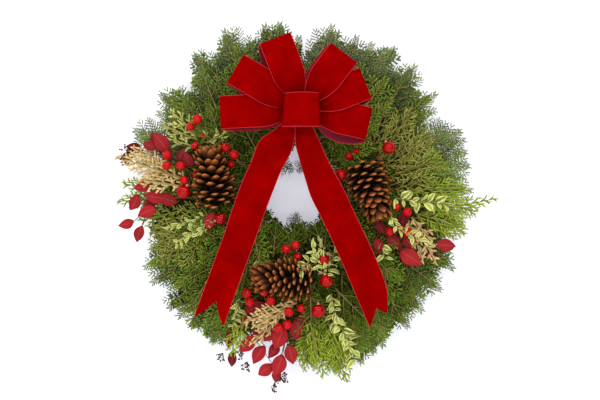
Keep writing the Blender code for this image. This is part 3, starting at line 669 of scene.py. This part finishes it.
CONE_LENGTH = 0.122
CONE_WIDTH = 0.086
CONE_DEPTH = 0.112
CONES = {  # x, z, the tip's direction, how many scales, their width, and the lean out from the wall
    "left": (-0.174, 0.030, radians(97), 104, 0.0190, 0.10),
    "right": (0.140, 0.014, radians(-72), 112, 0.0180, 0.16),
    "bottom": (-0.030, -0.168, radians(177), 150, 0.0135, 0.06),
}
GOLDEN_ANGLE = radians(137.508)


def pine_cone(x, z, heading, count, scale_width, lean, chance):
    """Scale k leaves the core at k golden angles, at a height that rises with its share of the count.

    In the plane of its own radius it grows outward at an angle to the axis, 112 degrees at the base and
    24 at the tip, that closes by 30 degrees along the scale; its length brings it to the cone's outline.
    """
    axis = np.array([cos(heading) * cos(lean), -sin(lean), sin(heading) * cos(lean)])
    front = unit(VIEWER - axis * (VIEWER @ axis))
    across = np.cross(axis, front)
    k = np.arange(count)
    share = (k + 0.5) / count
    turn = k * GOLDEN_ANGLE + 0.10 * chance.uniform(-1, 1, count)
    radial = np.cos(turn)[:, None] * front + np.sin(turn)[:, None] * across
    height = (-0.40 + 0.80 * share**0.92) * CONE_LENGTH
    outline = (1 - share**2.3) ** 0.62 * (0.84 + 0.16 * np.sin(pi * np.clip(share / 0.5, 0, 1)))
    reach = CONE_WIDTH / 2 * outline * (1 + 0.07 * chance.uniform(-1, 1, count)) + 0.003
    start = radians(112) - radians(88) * share**1.25 + 0.10 * chance.uniform(-1, 1, count)
    t = np.array([0.0, 0.3, 0.55, 0.74, 0.87, 0.95, 1.0])
    angle = start[:, None] - radians(30) * t[None] ** 1.3
    length = (reach - 0.005) / np.clip(np.sin(angle[:, 3]), 0.42, 1.0)
    length = np.minimum(length, 0.046)
    step = np.diff(t, prepend=0.0)[None] * length[:, None]
    out_run = 0.005 + np.cumsum(step * np.sin(angle), 1)
    up_run = height[:, None] + np.cumsum(step * np.cos(angle), 1)
    centre = spot(x, z, CONE_DEPTH)
    path = centre + up_run[..., None] * axis + out_run[..., None] * radial[:, None]
    pad = np.cos(angle)[..., None] * radial[:, None] - np.sin(angle)[..., None] * axis
    grown = np.clip(0.42 + 0.9 * outline, 0.40, 1.0)[:, None]
    width = scale_width / 2 * grown * np.array([0.30, 0.50, 0.84, 1.0, 0.80, 0.46, 0.06])[None]
    thick = np.array([0.0008, 0.0009, 0.0011, 0.0017, 0.0027, 0.0021, 0.0005])[None] * grown
    scales = rods(path, pad, width, thick, 8, cup=-0.16)
    each = len(scales[0]) // count
    scales[2]["tone"] = 0.10 * np.repeat(chance.uniform(-1, 1, count), each)
    stations = np.linspace(-0.46, 0.44, 9)
    girth = 0.0095 * np.array([0.35, 0.9, 1, 1, 0.95, 0.85, 0.7, 0.5, 0.2])[None]
    core = rods((centre + stations[:, None] * CONE_LENGTH * axis)[None], front, girth, girth, 12)
    core[2]["along"] = np.zeros(len(core[0]))
    return joined([scales, core])


cone, tree, shader = finish("cone_scales", Roughness=0.6, Specular_IOR_Level=0.15)
# Scales darken from their lighter pads to near black at the core: partly their darker inner wood, partly
# painted shade between the scales
ramp = node(tree, "ValToRGB", {"Fac": mark(tree, "along")})
stops = ramp.color_ramp.elements
stops[0].position, stops[0].color = 0.20, (0.012, 0.005, 0.003, 1)
stops[1].position, stops[1].color = 0.97, (0.80, 0.32, 0.095, 1)
for position, colour in (
    (0.46, (0.085, 0.024, 0.006, 1)), (0.68, (0.36, 0.095, 0.018, 1)), (0.86, (0.60, 0.180, 0.035, 1)),
):
    stops.new(position).color = colour
shade, height = mottled(tree, mark(tree, "tone"), (0.62, 0.62, 0.62), (1.0, 1.0, 1.0), 170.0, 1.2)
wood = node(
    tree, "Mix", {0: 1.0, 6: ramp.outputs["Color"], 7: shade}, data_type="RGBA", blend_type="MULTIPLY"
)
surface(tree, shader, wood.outputs[2], height, 0.0008, 0.7)
chance = np.random.default_rng(11)
for side, measures in CONES.items():
    stand_in(f"cone_{side}", f"pine_cone_{side}", pine_cone(*measures, chance), [cone])

# ---------------------------------------------------------------- red eucalyptus
# Preserved eucalyptus dyed crimson: stiff oval leaves on a dark stem, and clusters of small dark seeds.

SPRIGS = {  # node: depth of its layer, then each leaf's middle (x, z), tip angle, length and lightness, partly its own dye and partly painted shade
    "left_upper": (0.106, (
        (-0.224, 0.070, 120, 0.034, 0.3), (-0.276, 0.104, 126, 0.046, 0.6),
        (-0.290, 0.112, 108, 0.030, 0.3), (-0.300, 0.098, 160, 0.030, 0.4),
        (-0.332, 0.094, 165, 0.034, 0.0), (-0.346, 0.078, 185, 0.028, 0.0), (-0.238, 0.080, 60, 0.026, 0.2),
    )),
    "left_lower": (0.108, (
        (-0.262, -0.010, -20, 0.040, 0.5), (-0.290, -0.004, 170, 0.042, 0.7),
        (-0.312, 0.018, 200, 0.038, 0.7), (-0.330, -0.016, 245, 0.036, 0.7),
        (-0.306, -0.034, 200, 0.040, 0.8), (-0.345, -0.058, 200, 0.032, 0.9),
        (-0.322, -0.078, 250, 0.034, 0.5), (-0.300, -0.020, 20, 0.030, 0.3),
    )),
    "left_inner": (0.112, ((-0.178, -0.050, 70, 0.036, 0.7), (-0.184, -0.072, 240, 0.030, 0.3))),
    "bottom_left": (0.098, (
        (-0.090, -0.226, 20, 0.046, 0.4), (-0.113, -0.256, 240, 0.034, 0.5),
        (-0.084, -0.280, 250, 0.036, 0.5), (-0.105, -0.298, 225, 0.044, 0.8),
        (-0.083, -0.318, 235, 0.042, 0.8), (-0.070, -0.350, 215, 0.038, 0.9),
        (-0.140, -0.290, 255, 0.034, 0.2), (-0.136, -0.330, 262, 0.030, 0.1),
    )),
    "bottom_right": (0.106, (
        (-0.004, -0.266, 80, 0.050, 0.5), (-0.041, -0.286, 250, 0.050, 0.9),
        (-0.018, -0.318, 285, 0.040, 0.7), (-0.052, -0.310, 240, 0.034, 0.5),
        (-0.042, -0.339, 250, 0.046, 0.9), (-0.047, -0.361, 262, 0.030, 0.6),
        (-0.062, -0.276, 225, 0.044, 0.6), (0.006, -0.246, 60, 0.034, 0.3),
    )),
    "right": (0.110, (
        (0.160, -0.064, 300, 0.032, 0.2), (0.188, -0.094, 310, 0.040, 0.3),
        (0.219, -0.124, 325, 0.052, 0.8), (0.240, -0.084, 340, 0.040, 0.4),
        (0.258, -0.116, 250, 0.030, 0.2), (0.291, -0.100, 355, 0.040, 0.6), (0.206, -0.046, 80, 0.036, 0.1),
        (0.216, -0.094, 300, 0.034, 0.4), (0.156, -0.100, 280, 0.034, 0.4),
    )),
}
SEEDS = {  # node: the middle of each cluster
    "left_upper": ((-0.352, 0.092), (-0.352, 0.068)),
    "left_lower": (),
    "left_inner": (),
    "bottom_left": ((-0.160, -0.328), (-0.122, -0.322), (-0.110, -0.346)),
    "bottom_right": ((-0.040, -0.374), (-0.032, -0.366), (-0.052, -0.388)),
    "right": ((0.262, -0.106), (0.276, -0.120), (0.250, -0.094)),
}


def balls(centre, radius, up, sides=6, rings=5):
    """Spheres as turned rods: each ring is radius times the sine, and stands at radius times the cosine."""
    arc = np.linspace(0.12, pi - 0.12, rings)
    radius = np.broadcast_to(radius, (len(centre),))
    path = centre[:, None] - unit(up)[:, None] * (radius[:, None] * np.cos(arc))[..., None]
    girth = radius[:, None] * np.sin(arc)
    guide = np.where(np.abs(unit(up)[:, :1]) < 0.8, [[1.0, 0.0, 0.0]], [[0.0, 0.0, 1.0]])
    return rods(path, guide[:, None], girth, girth, sides)


leaf_red, tree, shader = finish("eucalyptus_leaf", Roughness=0.6, Specular_IOR_Level=0.15)
along, across = mark(tree, "along"), mark(tree, "across")
red, height = mottled(tree, mark(tree, "tone"), (0.070, 0.002, 0.005), (0.450, 0.014, 0.020), 120.0, 0.45)
width = maths(tree, "ABSOLUTE", across)
slant = maths(tree, "MULTIPLY_ADD", width, -0.55, along)
wave = maths(tree, "MULTIPLY", slant, 46.0)
vein = maths(tree, "GREATER_THAN", maths(tree, "SINE", wave), 0.96)
rib = maths(tree, "LESS_THAN", width, 0.07)
lines = maths(tree, "MULTIPLY_ADD", vein, 0.30, rib, clamp=True)
faint = maths(tree, "MULTIPLY", lines, 0.22)
veined = mixed(tree, faint, red, (0.62, 0.16, 0.13))
dark = mixed(tree, mark(tree, "wood"), veined, (0.050, 0.010, 0.016))
surface(tree, shader, dark, height, 0.0006)
chance = np.random.default_rng(23)
for side, (depth, leaves) in SPRIGS.items():
    x, z, tip, length, tone = np.array(leaves).T
    turn = np.radians(tip)
    loose = chance.uniform(-1, 1, (3, len(x)))
    aim = np.stack([np.cos(turn), -0.10 - 0.25 * loose[0], np.sin(turn)], -1)
    face = VIEWER + np.stack([0.35 * loose[1], 0 * x, 0.35 * loose[2]], -1)
    # Painted shade: the darker a leaf, the further back it is set, as leaves in shade lie lower
    order = np.argsort(tone)
    layer = np.empty(len(x))
    layer[order] = np.linspace(-0.008, 0.010, len(x))
    middle = spot(x, z, depth + layer)
    droop = 0.5 + 0.3 * loose[0]
    leaf = blades(middle, aim, face, length, 0.66, droop, 0.10, steps=10, sides=10, thick=0.00045)
    leaf[2]["tone"] = np.repeat(0.15 + 0.75 * tone, len(leaf[0]) // len(x))
    feet = middle - unit(aim) * length[:, None] * 0.52
    join = feet.mean(0) - VIEWER * 0.008
    t = np.linspace(0, 1, 5)[None, :, None]
    stem = feet[:, None] * t + join * (1 - t) - VIEWER * 0.006 * np.sin(pi * t)
    parts = [leaf, wooden(rods(stem, VIEWER, 0.0008, 0.0008, 5))]
    for cluster_x, cluster_z in SEEDS[side]:
        count = 12
        away = chance.uniform(-1, 1, (3, count)) * np.array([[0.0085], [0.006], [0.0085]])
        seeds = spot(cluster_x + away[0], cluster_z + away[2], depth - 0.004 + away[1])
        berry = balls(seeds, chance.uniform(0.0014, 0.0024, count), np.tile(VIEWER, (count, 1)) + 0.3)
        root = spot(cluster_x * 0.965, cluster_z * 0.965, depth - 0.006)
        stalk = rods(root * (1 - t) + seeds[:, None] * t, VIEWER, 0.0004, 0.0004, 4)
        parts += [wooden(berry), wooden(stalk)]
    stand_in(f"red_leaves_{side}", f"eucalyptus_{side}", joined(parts), [leaf_red])

# ---------------------------------------------------------------- berry picks
# Lacquered berries on short bound wires, pushed in among the greens in threes and fours.
# Each has a dark blossom end, a small dimple opposite its wire.

BERRY_DEPTH = 0.118
PICKS = {  # each berry's x, z, radius and step out from the layer
    "left_top": (
        (-0.204, 0.150, 0.0100, 0.004), (-0.218, 0.136, 0.0086, -0.002), (-0.196, 0.118, 0.0066, -0.014),
    ),
    "left_inner": (
        (-0.148, 0.094, 0.0094, 0.0), (-0.131, 0.080, 0.0096, 0.004), (-0.138, 0.062, 0.0078, -0.018),
    ),
    "left_outer": (
        (-0.264, 0.079, 0.0094, 0.010), (-0.264, 0.058, 0.0094, 0.014), (-0.237, 0.058, 0.0094, 0.006),
        (-0.230, 0.029, 0.0086, 0.010), (-0.209, 0.098, 0.0078, -0.006), (-0.208, 0.040, 0.0066, -0.010),
    ),
    "right_top": (
        (0.112, 0.088, 0.0060, -0.010), (0.098, 0.078, 0.0080, -0.016),
    ),
    "right": (
        (0.193, -0.024, 0.0072, 0.0), (0.213, -0.034, 0.0090, 0.006), (0.178, -0.073, 0.0086, 0.006),
        (0.201, -0.068, 0.0080, 0.002), (0.213, -0.074, 0.0098, 0.010),
    ),
    "bottom_top": (
        (-0.028, -0.108, 0.0092, 0.0), (-0.009, -0.100, 0.0090, 0.0), (-0.005, -0.123, 0.0080, -0.010),
    ),
    "bottom_left": (
        (-0.106, -0.195, 0.0094, 0.004), (-0.100, -0.213, 0.0090, 0.002), (-0.071, -0.194, 0.0082, 0.0),
    ),
    "bottom": (
        (-0.022, -0.232, 0.0094, 0.010), (0.002, -0.225, 0.0082, 0.002), (-0.042, -0.264, 0.0094, 0.014),
        (-0.025, -0.257, 0.0092, 0.012), (-0.058, -0.210, 0.0092, 0.006),
    ),
}
berry_red, tree, shader = finish(
    "berry_skin", Roughness=0.30, Coat_Weight=0.35, Coat_Roughness=0.08, Specular_IOR_Level=0.0
)
skin, height = mottled(tree, 0.6, (0.30, 0.002, 0.003), (0.66, 0.004, 0.006), 90.0, 0.8)
end = node(tree, "MapRange", {"Value": mark(tree, "along"), "From Min": 0.975, "From Max": 1.0}).outputs[0]
blossom = mixed(tree, end, skin, (0.020, 0.006, 0.004))
surface(tree, shader, mixed(tree, mark(tree, "wood"), blossom, (0.10, 0.035, 0.020)), height, 0.0003, 0.3)
for side, berries in PICKS.items():
    x, z, radius, out = np.array(berries).T
    centre = spot(x, z, BERRY_DEPTH + out)
    up = unit(VIEWER + chance.uniform(-1, 1, (len(x), 3)) * np.array([1.5, 0.2, 1.5]))
    fruit = balls(centre, radius, up, 20, 15)
    join = centre.mean(0) + np.array([0.0, 0.024, 0.0])
    t = np.linspace(0, 1, 6)[None, :, None]
    foot = centre - up * radius[:, None] * 0.9
    wires = wooden(rods(join * (1 - t) + foot[:, None] * t, VIEWER, 0.0007, 0.0007, 6))
    stand_in(f"berries_{side}", f"berry_pick_{side}", joined([fruit, wires]), [berry_red])

# ---------------------------------------------------------------- ornament balls
# Small blown-glass balls lacquered deep red, each with a crimped metal cap and a wire ring.

ORNAMENTS = {  # x, z, radius, the cap's direction
    "left": (-0.231, 0.006, 0.0142, 60), "left_low": (-0.157, -0.047, 0.0120, 200),
    "right": (0.176, 0.094, 0.0132, 120), "right_inner": (0.080, 0.040, 0.0122, 170),
    "bottom_high": (0.048, -0.128, 0.0115, 60), "bottom_mid": (0.052, -0.171, 0.0134, 100),
    "bottom_low": (0.036, -0.230, 0.0142, 90),
}
glass, tree, shader = finish(
    "ornament_gloss", Roughness=0.18, Metallic=0.35, Specular_IOR_Level=0.0,
    Coat_Weight=0.40, Coat_Roughness=0.03, Coat_IOR=1.5,
)
lacquer, height = mottled(tree, 0.5, (0.34, 0.0004, 0.001), (0.50, 0.0008, 0.003), 60.0, 0.6)
surface(tree, shader, lacquer)
cap_metal, tree, shader = finish("cap_metal", Metallic=1.0, Roughness=0.3)
lustre, height = mottled(tree, 0.5, (0.30, 0.10, 0.06), (0.62, 0.34, 0.20), 500.0, 0.8)
surface(tree, shader, lustre, height, 0.0002)
for side, (x, z, radius, cap_angle) in ORNAMENTS.items():
    centre = spot(x, z, BERRY_DEPTH + 0.006)
    out = unit(np.array([cos(radians(cap_angle)), -0.25, sin(radians(cap_angle))]))
    ball = balls(centre[None], radius, out[None], 32, 25)
    height = np.array([0.955, 0.96, 1.12, 1.16, 1.30, 1.31]) * radius
    width = np.array([0.02, 0.34, 0.33, 0.27, 0.25, 0.02]) * radius
    collar = centre + height[:, None] * out
    cap = rods(collar[None], np.array([0.0, 1.0, 0.0]), width[None], width[None], 16)
    round_ring = np.linspace(0, tau * 0.98, 12)[:, None]
    side_way = unit(np.cross(out, VIEWER))
    away = radius * 0.18 * (np.cos(round_ring) * out + np.sin(round_ring) * side_way)
    ring = rods((centre + out * radius * 1.42 + away)[None], np.cross(out, side_way), 0.0004, 0.0004, 6)
    shape = joined([ball, cap, ring])
    which = np.repeat([0, 1], [len(ball[1]), len(cap[1]) + len(ring[1])])
    finishes = [glass, cap_metal]
    stand_in(f"ornament_{side}", f"ornament_ball_{side}", shape, finishes, which)

# ---------------------------------------------------------------- bow
# Wired velvet ribbon 63.5 mm wide, satin-backed, with a corded edge: six loops, a short loop over the knot
# and two tails cut to a V. One wire gathers the knot and is hooked round the frame.

RIBBON_WIDTH = 0.0635
RIBBON_THICK = 0.0010
KNOT = (0.004, 0.168)
LOOP_DEPTH = 0.168
CORD = 0.00075        # radius of the corded edge

velvet, tree, shader = finish(
    "velvet_pile", Roughness=0.95, Specular_IOR_Level=0.0, Sheen_Weight=0.05, Sheen_Roughness=0.35,
    Sheen_Tint=(1.0, 0.01, 0.01, 1.0),
)
uv = node(tree, "UVMap", uv_map="ribbon").outputs["UV"]
nap = node(tree, "TexNoise", {"Vector": uv, "Scale": 26.0, "Detail": 2.0}).outputs["Fac"]
pile = node(tree, "TexNoise", {"Vector": uv, "Scale": 900.0, "Detail": 2.0}).outputs["Fac"]
brushed = maths(tree, "MULTIPLY_ADD", pile, 0.5, nap)
share = node(tree, "MapRange", {"Value": brushed, "From Min": 0.45, "From Max": 1.05}).outputs[0]
# The shade mark on a ribbon's points is painted shade; it darkens the velvet together with the nap
nap_and_shade = maths(tree, "MULTIPLY", share, mark(tree, "shade"))
velvet_nap_and_shade = mixed(tree, nap_and_shade, (0.190, 0.0002, 0.0002), (0.360, 0.0002, 0.0003))
surface(tree, shader, velvet_nap_and_shade, pile, 0.0005, 0.5)

satin, tree, shader = finish("satin_back", Roughness=0.45, Specular_IOR_Level=0.15)
uv = node(tree, "UVMap", uv_map="ribbon").outputs["UV"]
weave = node(tree, "TexWave", {"Vector": uv, "Scale": 260.0, "Distortion": 0.6}, bands_direction="Y")
thread = weave.outputs["Fac"]
woven = mixed(tree, thread, (0.150, 0.0016, 0.014), (0.260, 0.0030, 0.026))
surface(tree, shader, woven, thread, 0.0003, 0.4)

cord_red, tree, shader = finish("corded_edge", Roughness=0.7, Specular_IOR_Level=0.1)
twist = maths(tree, "MULTIPLY", mark(tree, "along"), 900.0)
strand = maths(tree, "MULTIPLY_ADD", maths(tree, "SINE", twist), 0.5, 0.5)
twisted = mixed(tree, strand, (0.48, 0.010, 0.022), (0.74, 0.040, 0.062))
surface(tree, shader, twisted, strand, 0.0004)


def ribbon(name, cad_node, grid, shade):
    """Makes a ribbon from its place grid (steps along, steps across, 3), velvet on the side its normals face.

    cut is the length of ribbon that it takes. The flat area is the width times cut, less a triangle for a
    Solidify gives it thickness, with satin behind; a cord follows each long edge as a separate piece.
    """
    rows, columns = grid.shape[:2]
    first = (np.arange(rows - 1)[:, None] * columns + np.arange(columns - 1)).ravel()
    faces = np.stack([first, first + columns, first + columns + 1, first + 1], -1)
    # shade, stored on the points, is painted shade for the velvet
    shape = (grid.reshape(-1, 3), faces, {"shade": np.broadcast_to(shade, (rows, columns)).ravel()})
    made = piece(name, shape, [velvet, satin])
    run = np.linalg.norm(np.diff(grid, axis=0), axis=-1).mean(1)
    along = np.concatenate([[0.0], np.cumsum(run)])
    layer = made.data.uv_layers.new(name="ribbon")
    corner = np.stack([
        np.repeat(along, columns), np.tile(np.linspace(0, RIBBON_WIDTH, columns), rows),
    ], -1)[faces.ravel()]
    layer.data.foreach_set("uv", corner.astype(np.float32).ravel())
    body = made.modifiers.new("ribbon thickness", "SOLIDIFY")
    body.thickness = RIBBON_THICK
    body.offset = 0.0
    body.material_offset = 1
    body.material_offset_rim = 0
    edges = np.stack([grid[:, 0], grid[:, -1]])
    inward = np.stack([grid[:, 1] - grid[:, 0], grid[:, -2] - grid[:, -1]])
    cord = piece(f"{name}_cord", rods(edges, inward, CORD, CORD, 6), [cord_red])
    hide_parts(cad_node)


LOOP_START = 0.030    # each loop starts this far from the knot's middle
# Each loop's aim in degrees, reach from the knot, step out from the layer, and how far its back half slides
BOW_LOOPS = {
    "left_top": (111, 0.147, 0.0065, 0.010), "left_middle": (149, 0.152, 0.0, 0.002),
    "left_low": (182.5, 0.160, -0.0065, 0.005), "right_top": (53, 0.136, 0.0065, 0.006),
    "right_middle": (22, 0.134, 0.0, -0.005), "right_low": (-12.6, 0.134, -0.0065, -0.015),
}
for number, (side, (aim, reach, step, slide)) in enumerate(BOW_LOOPS.items()):
    # Out along the front and back behind: distance from the knot and lift trace a drop, rounder at its end.
    # Folds run out from the gather: a cosine across the width that dies away from the knot.
    aim = radians(aim)
    outward = np.array([cos(aim), 0.0, sin(aim)])
    sideways = np.array([-sin(aim), 0.0, cos(aim)])
    t = np.linspace(0, 1, 73)[:, None]
    s = np.linspace(-1, 1, 17)[None]
    swing = tau * t
    far = LOOP_START + (reach - LOOP_START) * ((1 - np.cos(swing)) / 2) ** 0.92
    lift = 0.0205 * np.sin(swing) * np.abs(np.sin(swing / 2)) ** 0.6
    near = np.exp(-np.clip(far - 0.034, 0, None) / 0.030)
    pleats = near * np.cos(2.6 * pi * s + 0.8 * number)
    lift = lift + 0.0028 * pleats + step
    lift = lift - np.sign(pi - swing) * 0.0016 * s**2 * np.abs(np.sin(swing))
    opened = np.clip((far - 0.026) / 0.056, 0, 1)
    half = RIBBON_WIDTH / 2 * (0.42 + 0.58 * opened * (2 - opened))
    spread = half * s + slide * np.clip(-np.sin(swing), 0, None)
    grid = (
        spot(*KNOT, LOOP_DEPTH) + far[..., None] * outward * np.ones_like(s)[..., None]
        + lift[..., None] * VIEWER + spread[..., None] * sideways
    )
    # Painted shade: the velvet darkens towards the knot and in the pleats, and is lightest towards the loop's
    # far end
    shade = (0.30 + 0.75 * np.clip((far - 0.036) / 0.10, 0, 1) ** 0.7) * (1 - 0.34 * pleats)
    ribbon(f"loop_{side}", f"bow_loop_{side}", grid, shade)  # out and back

t = np.linspace(0, 1, 65)[:, None]
s = np.linspace(-1, 1, 17)[None]
swing = radians(8) + radians(344) * t + pi / 2


def squared(value, power):
    """Pushes a sine or cosine towards 1, which squares off a round band."""
    return np.sign(value) * np.abs(value) ** power


# The short loop stands round the knot: half its width times a squared-off sine, wider at its foot
across = (0.0350 - 0.0024 * s) * squared(np.sin(swing), 0.62)
lift = -0.0150 * squared(np.cos(swing), 0.62) + 0.0006 * np.cos(5 * across / 0.035)
rise = 0.0318 * s + 0.0022 * (1 - (across / 0.036) ** 2) * np.clip(s, 0, 1)
grid = spot(KNOT[0] + across - 0.0012 * (1 - s), KNOT[1] - 0.0035 + rise + 0 * t, 0.191 + lift)
# Painted light and shade: lighter across the band's middle, darker towards its turned sides
shade = 0.86 + 0.10 * np.cos(across / 0.035 * 1.3)
ribbon("loop_centre", "bow_centre_loop", grid[::-1], shade)

TAILS = {  # each row: the left edge's x and z, then the right edge's
    "left": (
        (-0.036, 0.140, -0.008, 0.142), (-0.052, 0.126, -0.0105, 0.116), (-0.079, 0.106, -0.018, 0.084),
        (-0.096, 0.064, -0.036, 0.050), (-0.113, 0.026, -0.054, 0.006), (-0.133, -0.030, -0.075, -0.050),
        (-0.153, -0.090, -0.097, -0.112), (-0.179, -0.160, -0.123, -0.182),
        (-0.207, -0.238, -0.150, -0.257),
    ),
    "right": (
        (-0.009, 0.142, 0.021, 0.142), (-0.009, 0.104, 0.035, 0.112), (-0.002, 0.074, 0.049, 0.080),
        (0.011, 0.030, 0.067, 0.044), (0.023, -0.006, 0.084, 0.014), (0.046, -0.052, 0.107, -0.036),
        (0.072, -0.108, 0.131, -0.086), (0.098, -0.168, 0.154, -0.138), (0.120, -0.220, 0.170, -0.186),
        (0.137, -0.259, 0.172, -0.232),
    ),
}
NOTCH = 0.030         # depth of the V


def smooth_path(rows, share):
    """Places at each share of the way along the Catmull-Rom curve through the rows."""
    rows = np.array(rows)
    last = len(rows) - 1
    k = np.minimum((share * last).astype(int), last - 1)
    u = (share * last - k)[..., None]
    a, b, c, d = (rows[np.clip(k + step, 0, last)] for step in (-1, 0, 1, 2))
    return 0.5 * (2 * b + (c - a) * u + (2 * a - 5 * b + 4 * c - d) * u**2 + (3 * b - a - 3 * c + d) * u**3)


for side, rows in TAILS.items():
    # Each place is the mix of the two edges; near the end the middle stops short, which leaves the cut V.
    t = np.linspace(0, 1, 91)[:, None] * np.ones((1, 17))
    s = np.linspace(-1, 1, 17)[None] * np.ones((91, 1))
    lengths = np.linalg.norm(np.diff(np.array(rows)[:, :2], axis=0), axis=1).sum()
    cut = NOTCH / lengths * (1 - np.abs(s)) * np.clip((t - 0.75) / 0.25, 0, 1)
    edges = smooth_path(rows, t - cut)
    mix = (s[..., None] + 1) / 2
    flat = edges[..., :2] * (1 - mix) + edges[..., 2:] * mix
    near = np.exp(-t / 0.10)
    start, curled = (0.7, 0.004) if side == "left" else (2.0, 0.020)
    waves = 0.0022 * np.sin(13 * t + 1.6 * s + start) + 0.0012 * np.sin(31 * t - 2.4 * s)
    curl = np.clip((t - 0.70) / 0.30, 0, 1) ** 1.5 * np.clip(s, 0, 1) ** 2 * curled
    depth = 0.161 - 0.005 * np.sin(pi * t) + waves * (1 - near) + 0.003 * near * np.cos(2 * pi * s) - curl
    grid = spot(flat[..., 0], flat[..., 1], depth)
    # Painted shade: light and dark stripes that follow the ripples, and darker near the knot
    crease_shade = np.sin(13 * t + 1.6 * s + 1.0) + 0.8 * np.sin(31 * t - 2.4 * s)
    shade = 0.80 + (0.15 if side == "left" else 0.09) * crease_shade - 0.25 * near
    ribbon(f"tail_{side}", f"bow_tail_{side}", grid, shade)

# ---------------------------------------------------------------- studio
# A white wall that the wreath hangs on, a pale floor well below it, and a bank of long soft lights
# above the camera. The wall is seen only from its front and lets light through from behind.

# The wall glows faintly blue: painted light that keeps it white and lightens the shadows on it
glowing_wall_paint, tree, shader = finish("glowing_wall_paint", Roughness=0.9, Emission_Strength=0.40)
shader.inputs["Emission Color"].default_value = (0.82, 0.82, 1.0, 1.0)
tone, _ = mottled(tree, 0.5, (0.90, 0.90, 0.91), (0.93, 0.93, 0.94), 3.0, 0.4)
surface(tree, shader, tone)
behind = node(tree, "NewGeometry").outputs["Backfacing"]
shadow = node(tree, "LightPath").outputs["Is Shadow Ray"]
unseen = maths(tree, "MAXIMUM", behind, shadow)
clear = node(tree, "BsdfTransparent")
choice = node(tree, "MixShader", {0: unseen, 1: shader.outputs[0], 2: clear.outputs[0]})
tree.links.new(choice.outputs[0], tree.nodes["Material Output"].inputs["Surface"])
floor_paint, tree, shader = finish("floor_paint", Roughness=0.7)
tone, _ = mottled(tree, 0.5, (0.80, 0.80, 0.80), (0.86, 0.86, 0.86), 4.0, 0.4)
surface(tree, shader, tone)
WALL_DEPTH = -0.012    # the wall stands behind the frame, clear of the flattened needles
FLOOR_DROP = 0.90
wall_corners = spot(
    np.array([-3.0, 3.0, 3.0, -3.0]), np.array([-FLOOR_DROP, -FLOOR_DROP, 3.0, 3.0]), WALL_DEPTH
)
floor_corners = np.stack([
    [-5.0, 5.0, 5.0, -5.0], [-5.0, -5.0, 5.0, 5.0], np.full(4, -HANG_DROP - FLOOR_DROP),
], -1)
for name, corners, paint in (
    ("studio_wall", wall_corners, glowing_wall_paint), ("studio_floor", floor_corners, floor_paint),
):
    mesh = bpy.data.meshes.new(name)
    mesh.from_pydata(corners.tolist(), [], [(0, 1, 2, 3)])
    mesh.materials.append(paint)
    sheet = bpy.data.objects.new(name, mesh)
    bpy.context.scene.collection.objects.link(sheet)

world = bpy.data.worlds.new("studio")
bpy.context.scene.world = world
world.use_nodes = True
world.node_tree.nodes["Background"].inputs["Color"].default_value = (0.93, 0.96, 1.0, 1.0)
world.node_tree.nodes["Background"].inputs["Strength"].default_value = 0.24


def soft_light(name, place, target, size, power):
    """A rectangular lamp facing the target."""
    lamp = bpy.data.lights.new(name, "AREA")
    lamp.shape = "RECTANGLE"
    lamp.size, lamp.size_y = size
    lamp.energy = power
    lamp.color = (1.0, 0.98, 0.95)
    holder = bpy.data.objects.new(name, lamp)
    bpy.context.scene.collection.objects.link(holder)
    away = np.array(place) - np.array(target)
    tilt = np.arctan2(np.hypot(away[0], away[1]), away[2])
    holder.location = place
    holder.rotation_euler = (tilt, 0.0, np.arctan2(away[0], -away[1]))


MIDDLE = (0.0, -0.08, -HANG_DROP)
LAMP_REACH = 3.4
for k, (above, power) in enumerate(((-9, 30.0), (21, 76.0), (56, 76.0))):
    place = spot(-0.3, LAMP_REACH * sin(radians(above)), LAMP_REACH * cos(radians(above)))
    soft_light(f"strip_{k}", place, MIDDLE, (8.0, 0.40), power)
soft_light("fill_back", (-0.8, 1.8, 0.8), MIDDLE, (1.4, 1.0), 14.0)

camera = bpy.data.cameras.new("camera")
camera.lens = 90.0
camera.sensor_width = 36.0
viewpoint = bpy.data.objects.new("camera", camera)
bpy.context.scene.collection.objects.link(viewpoint)
viewpoint.location = (0.0, -3.10, -HANG_DROP - 0.010)
viewpoint.rotation_euler = (pi / 2, 0.0, 0.0)
bpy.context.scene.camera = viewpoint
bpy.context.scene.view_settings.view_transform = "Standard"
